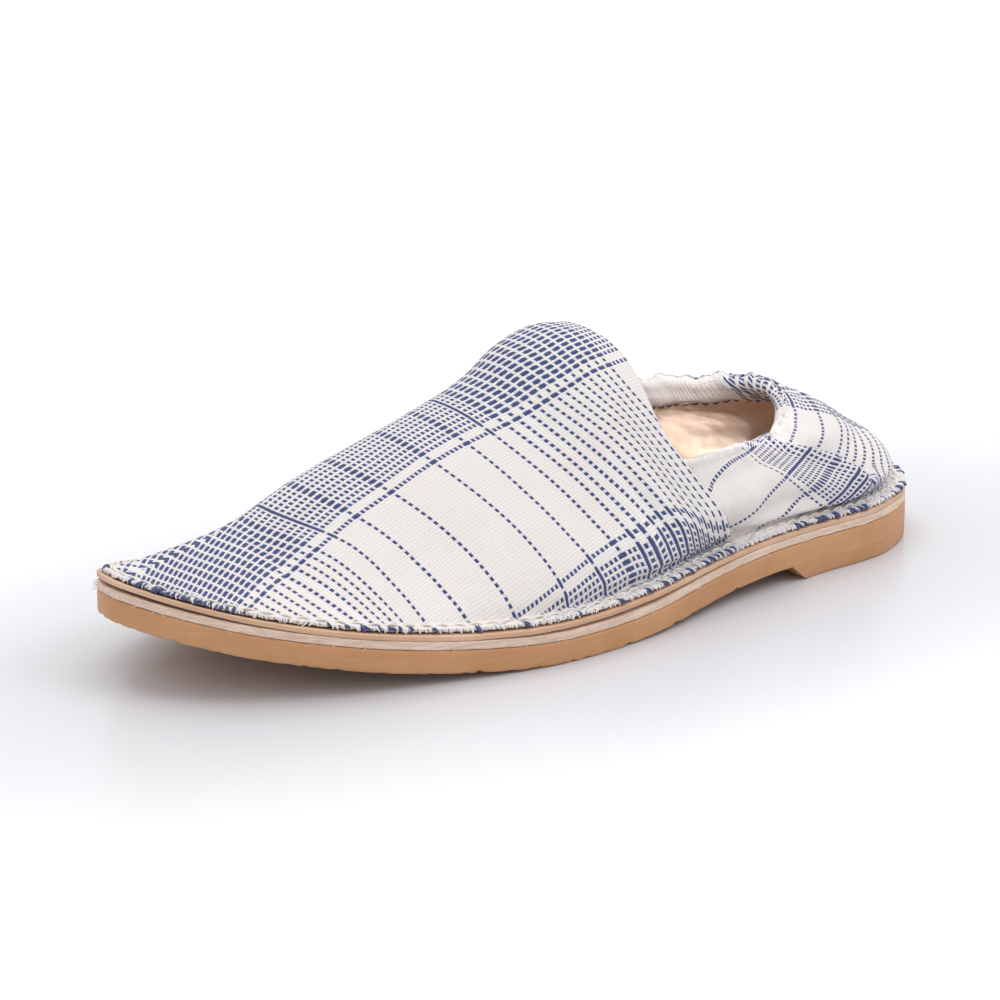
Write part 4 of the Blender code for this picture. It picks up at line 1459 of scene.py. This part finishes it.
def joined_threads(name, form, starts, paths, radii, taper):
    """One mesh of many copies of a thread form, each bent from its start along its own path.

    A path is three points, which steer a cubic curve from the start to the third of them."""
    places, faces = form
    share = places[:, 2]
    control = np.stack([starts, paths[:, 0], paths[:, 1], paths[:, 2]], axis=1)
    rest = 1 - share
    weights = np.stack([rest**3, 3 * share * rest**2, 3 * share**2 * rest, share**3])
    slopes = np.stack([-3 * rest**2, 3 * rest * (1 - 3 * share), 3 * share * (2 - 3 * share), 3 * share**2])
    line = np.einsum("nkc,kp->npc", control, weights)
    ahead = unit(np.einsum("nkc,kp->npc", control, slopes))
    side = unit(np.cross(ahead, np.array([0.13, 0.21, 1.0])))
    up = np.cross(side, ahead)
    radius = np.reshape(radii, (-1, 1, 1)) * (1.0 - taper * share)[None, :, None]
    points = line + radius * (side * places[None, :, :1] + up * places[None, :, 1:2])
    mesh = bpy.data.meshes.new(name)
    firsts = range(0, len(starts) * len(places), len(places))
    all_faces = [[first + corner for corner in face] for first in firsts for face in faces]
    mesh.from_pydata(world(points).reshape(-1, 3).tolist(), [], all_faces)
    piece = bpy.data.objects.new(name, mesh)
    bpy.context.collection.objects.link(piece)
    return piece


def turn_outward(piece):
    """Normals of every thread turned outward."""
    bpy.ops.object.select_all(action="DESELECT")
    piece.select_set(True)
    bpy.context.view_layer.objects.active = piece
    bpy.ops.object.mode_set(mode="EDIT")
    bpy.ops.mesh.select_all(action="SELECT")
    bpy.ops.mesh.normals_make_consistent(inside=False)
    bpy.ops.object.mode_set(mode="OBJECT")


def twisted_thread(name, pale):
    """Cotton or linen thread: an attribute says how much indigo it holds."""
    thread = Finish(name)
    place = thread.place()
    fuzz = thread.noise(place, 2600.0, 3.0, 0.7)
    clouds = thread.noise(place, 300.0, 2.0)
    dye = thread.value("ShaderNodeAttribute", {"attribute_name": "dye"}, {}, "Fac")
    light = thread.mix(clouds.eased(0.35, 0.70), pale, CANVAS_BLUSH)
    blue = thread.mix(fuzz, INDIGO, INDIGO_WORN)
    thread.shader.inputs["Sheen Weight"].default_value = 0.2
    return thread.surface(thread.mix(dye, light, blue), 0.80 + 0.15 * fuzz, fuzz, 0.15, 0.8)


def dyed(chart, number):
    """Whether a chart dyes a thread."""
    return any(t.first <= number <= t.last and (number - t.first) % t.every == 0 for t in chart)


def at_lengths(values, length, places):
    """Values kept along a line, read at places by their length along it."""
    values = np.reshape(values, (len(length), -1))
    return np.column_stack([np.interp(places, length, axis) for axis in values.T])


def running_stitch(name, form, line, stand, stitch):
    """Stitches along a line: each dips into the cloth at its two ends and stands off it between them."""
    length = distances(line)
    places = np.arange(stitch.first, length[-1] - stitch.long - stitch.last, stitch.long + stitch.gap)
    off = unit(at_lengths(stand, length, places))
    path = [at_lengths(line, length, places + share * stitch.long) + height * off
            for share, height in ((0.25, stitch.rise), (0.75, stitch.rise), (1.0, -stitch.dip))]
    start = at_lengths(line, length, places) - stitch.dip * off
    radii = np.full(len(places), stitch.radius)
    return joined_threads(name, form, start, np.stack(path, axis=1), radii, 0.0)


def place_threads(threads, dye, material):
    """Joined threads dyed, smoothed and put in place."""
    paint(threads, "dye", dye)
    turn_outward(threads)
    shade(threads, THREAD_SMOOTH)
    place_piece(threads, material, "check_canvas")


# The raw edge once round: the vamp's from throat to throat, then the quarter's round the heel
behind_throat = tucked >= 0.0
raw_edge = np.concatenate([vamp_net[0], quarter_net[0][behind_throat]])
raw_next = np.concatenate([vamp_net[2], quarter_net[2][behind_throat]])
raw_across = np.concatenate([vamp_across[0], quarter_across[0][behind_throat]])
raw_along = np.concatenate([vamp_along[0], quarter_along[0][behind_throat]])
raw_on_vamp = np.concatenate([np.ones(len(vamp_distance)), np.zeros(behind_throat.sum())])
raw_length = distances(raw_edge)

shuffle = np.random.default_rng(11)
fray_places = np.arange(0.0, raw_length[-1], FRAY_PITCH)
fray_places = fray_places + shuffle.uniform(-FRAY_UNEVEN, FRAY_UNEVEN, len(fray_places))
fray_start = at_lengths(raw_edge, raw_length, fray_places)
fray_out = unit(fray_start - at_lengths(raw_next, raw_length, fray_places))
fray_side = unit(np.cross(fray_out, (0.0, 0.0, 1.0)))
fray_threads = at_lengths(np.column_stack([raw_across, raw_along]), raw_length, fray_places)
fray_numbers = np.floor(fray_threads).astype(int)
step_across, step_along = np.abs(np.gradient(fray_threads, axis=0)).T
fray_vamp = at_lengths(raw_on_vamp, raw_length, fray_places)[:, 0] > 0.5
fray_dye = (wander(fray_start, HEEL_TUFT_SIZE, 83.0) > HEEL_TUFT_SHARE).astype(float)
for index in np.flatnonzero(fray_vamp):
    crosswise_ends = step_along[index] > step_across[index]
    chart = VAMP_CROSSWISE if crosswise_ends else VAMP_LENGTHWISE
    number = fray_numbers[index, 1] if crosswise_ends else abs(fray_numbers[index, 0])
    fray_dye[index] = dyed(chart, number)
# A dyed end frays out over its neighbours
fray_reach = FRAY_LENGTH * shuffle.uniform(0.45, 1.25, len(fray_places)) * (0.8 + 0.4 * fray_dye)
fray_sway = shuffle.normal(0.0, 0.55, len(fray_places))
fray_drop = shuffle.uniform(0.2, 1.1, len(fray_places))
fray_tip = fray_start + fray_out * fray_reach[:, None] + fray_side * fray_sway[:, None]
fray_path = np.stack([
    fray_start + fray_out * (0.35 * fray_reach)[:, None] + (0.0, 0.0, 0.25),
    fray_start + fray_out * (0.75 * fray_reach)[:, None] + fray_side * (0.4 * fray_sway)[:, None],
    fray_tip - fray_drop[:, None] * (0.0, 0.0, 0.7),
], axis=1)
fray_root = fray_start - fray_out * FRAY_ROOT - (0.0, 0.0, 0.35)
fray_radii = FRAY_RADIUS * shuffle.uniform(0.7, 1.25, len(fray_places)) * (1.0 + 0.8 * fray_dye)
thread_shape = thread_form(5, 4)
fray = joined_threads("frayed_edge", thread_shape, fray_root, fray_path, fray_radii, FRAY_TAPER)
frayed_cotton = twisted_thread("frayed_cotton", FRAY_PALE)
place_threads(fray, np.repeat(fray_dye, len(thread_shape[0])), frayed_cotton)

edge_seam = np.concatenate([
    vamp_net[0] + (vamp_net[FLANGE_ROWS] - vamp_net[0]) * STITCH_SHARE,
    (quarter_net[0] + (quarter_net[QUARTER_FLANGE_ROWS] - quarter_net[0]) * STITCH_SHARE)[behind_throat],
])
straight_up = np.tile((0.0, 0.0, 1.0), (len(edge_seam), 1))
stitches = running_stitch("edge_stitches", thread_form(6, 6), edge_seam, straight_up, EDGE_STITCH)
waxed_thread = twisted_thread("waxed_thread", STITCH_CREAM)
place_threads(stitches, np.zeros(len(stitches.data.vertices)), waxed_thread)


# Casing stitches: blue cotton running stitches that close the collar's casing round its elastic.
# They run along the inside, near the casing's free edge.
CASING_STITCH = Stitch(2.0, 1.3, 2.0, 2.0, 0.4, 0.2, 0.26)
CASING_STITCH_STAND = 0.25

casing_seam = (casing[-2] - rim_normal * CASING_STITCH_STAND)[behind_throat]
inward = -rim_normal[behind_throat]
casing_stitches = running_stitch("casing_stitches", thread_form(5, 4), casing_seam, inward, CASING_STITCH)
indigo_thread = twisted_thread("indigo_thread", STITCH_CREAM)
place_threads(casing_stitches, np.ones(len(casing_stitches.data.vertices)), indigo_thread)


# Loose fibres: strands of the midsole's raw leather, most of them round the toe.
# Each is a thin tapered thread that stands out of the cut edge and falls to one side.
FIBRE_COUNT = 260
FIBRE_RADIUS = 0.085
FIBRE_LENGTH = 2.6
FIBRE_TAPER = 0.6
FIBRE_ROOT = 0.6
TOE_SHARE = 0.6            # of the fibres, those round the toe
TOE_REACH = 75.0

strands = np.random.default_rng(23)
toe_fibres = int(FIBRE_COUNT * TOE_SHARE)
fibre_distance = np.concatenate([
    TOE_DISTANCE + strands.normal(0.0, 0.5, toe_fibres) * TOE_REACH,
    strands.uniform(0.0, ROUND, FIBRE_COUNT - toe_fibres),
])
fibre_place, fibre_out = edge_at(np.mod(fibre_distance, ROUND))
fibre_level = strands.uniform(0.1, 1.0, FIBRE_COUNT)
fibre_up = midsole_under(*fibre_place.T) + fibre_level * MIDSOLE_THICK
fibre_out = np.column_stack([fibre_out, np.zeros(FIBRE_COUNT)])
fibre_side = np.column_stack([-fibre_out[:, 1], fibre_out[:, 0], np.zeros(FIBRE_COUNT)])
fibre_start = np.column_stack([fibre_place, fibre_up]) - fibre_out * FIBRE_ROOT
fibre_size = FIBRE_LENGTH * strands.uniform(0.4, 1.3, FIBRE_COUNT)[:, None]
fibre_sway = strands.normal(0.0, 1.0, (FIBRE_COUNT, 1))
fibre_fall = strands.uniform(-1.0, 0.35, (FIBRE_COUNT, 1)) * (0.0, 0.0, 1.0)
fibre_path = np.stack([
    fibre_start + (0.35 * fibre_out + 0.2 * fibre_sway * fibre_side) * fibre_size,
    fibre_start + (0.50 * fibre_out + 0.6 * fibre_sway * fibre_side + 0.3 * fibre_fall) * fibre_size,
    fibre_start + (0.55 * fibre_out + 0.9 * fibre_sway * fibre_side + 0.6 * fibre_fall) * fibre_size,
], axis=1)
fibre_radii = FIBRE_RADIUS * strands.uniform(0.6, 1.4, FIBRE_COUNT)
fibres = joined_threads(
    "leather_fibres", thread_form(4, 5), fibre_start, fibre_path, fibre_radii, FIBRE_TAPER)
turn_outward(fibres)
shade(fibres, THREAD_SMOOTH)
place_piece(fibres, raw_leather("fibre_leather", FIBRE_PALE, MIDSOLE_PALE), "midsole_leather")


# Studio: a pale, slightly glossy floor board with a bluish grey painted shadow round the shoe, in a white
# fill from all round.
# Softboxes stand above, behind and in front, and a small narrow one shines into the opening.
FLOOR_SIZE = 12.0
# Colour of the painted shadow on the floor next to the shoe
FLOOR_PAINTED_SHADOW = (0.635, 0.642, 0.680)
FLOOR_FAR = (0.960, 0.960, 0.965)
FLOOR_NEAR_EDGE = 0.05
FLOOR_FAR_EDGE = 0.20
FILL_STRENGTH = 0.86

bpy.ops.object.select_all(action="DESELECT")
bpy.ops.mesh.primitive_plane_add(size=FLOOR_SIZE)
floor = bpy.context.object
floor.name = "floor"
paper = Finish("floor_board")
grain = paper.noise(paper.place(), 3.0, 3.0)
from_shoe = paper.place((1.0, 0.5, 1.0))
away = paper.value("ShaderNodeVectorMath", {"operation": "LENGTH"}, {0: from_shoe}, "Value")
# Painted shadow: the floor's colour darkens towards the shoe, and fades out between the near and far edges
pale = away.eased(FLOOR_NEAR_EDGE, FLOOR_FAR_EDGE) * (0.97 + 0.03 * grain)
floor.data.materials.append(paper.surface(paper.mix(pale, FLOOR_PAINTED_SHADOW, FLOOR_FAR), 0.24 + 0.06 * grain))
paper.shader.inputs["Specular IOR Level"].default_value = 0.3

world_light = bpy.data.worlds.new("studio")
world_light.use_nodes = True
fill = world_light.node_tree.nodes["Background"]
fill.inputs["Color"].default_value = (1.0, 1.0, 1.0, 1.0)
fill.inputs["Strength"].default_value = FILL_STRENGTH
bpy.context.scene.world = world_light

Softbox = namedtuple("Softbox", "name place aim size spread power")
SOFTBOXES = [
    Softbox("top_softbox", (-0.55, 0.25, 1.90), (0.0, 0.0, 0.03), 1.9, 180.0, 16.0),
    Softbox("front_softbox", (0.75, -1.15, 0.90), (0.0, 0.0, 0.04), 0.9, 180.0, 1.5),
    Softbox("heel_softbox", (0.85, 0.60, 1.20), (0.0, 0.06, 0.05), 0.8, 180.0, 5.0),
    Softbox("opening_snoot", (0.180, -0.034, 0.208), (-0.025, 0.081, 0.022), 0.03, 6.5, 0.0038),
]
for box in SOFTBOXES:
    lamp = bpy.data.lights.new(box.name, "AREA")
    lamp.size = box.size
    lamp.spread = np.radians(box.spread)
    lamp.energy = box.power
    light = bpy.data.objects.new(box.name, lamp)
    bpy.context.scene.collection.objects.link(light)
    light.location = box.place
    light.rotation_euler = (Vector(box.aim) - Vector(box.place)).to_track_quat("-Z", "Y").to_euler()
bpy.context.scene.view_settings.view_transform = "Standard"


# Camera: the photograph's angle, from the front on the outer side and a little above, with the shoe
# in the middle of the frame.
CAMERA_PLACE = np.array([-510.67, 816.49, 326.67])
CAMERA_AIM = np.array([109.81, 20.41, 37.45])
CAMERA_LENS = 138.0
SENSOR_WIDTH = 36.0
VIEW_DEPTH = 50.0

camera = bpy.data.objects.new("camera", bpy.data.cameras.new("camera"))
bpy.context.scene.collection.objects.link(camera)
camera.data.lens = CAMERA_LENS
camera.data.sensor_width = SENSOR_WIDTH
camera.data.clip_end = VIEW_DEPTH
camera.location = world(CAMERA_PLACE)
camera.rotation_euler = Vector(world(CAMERA_AIM) - world(CAMERA_PLACE)).to_track_quat("-Z", "Y").to_euler()
bpy.context.scene.camera = camera
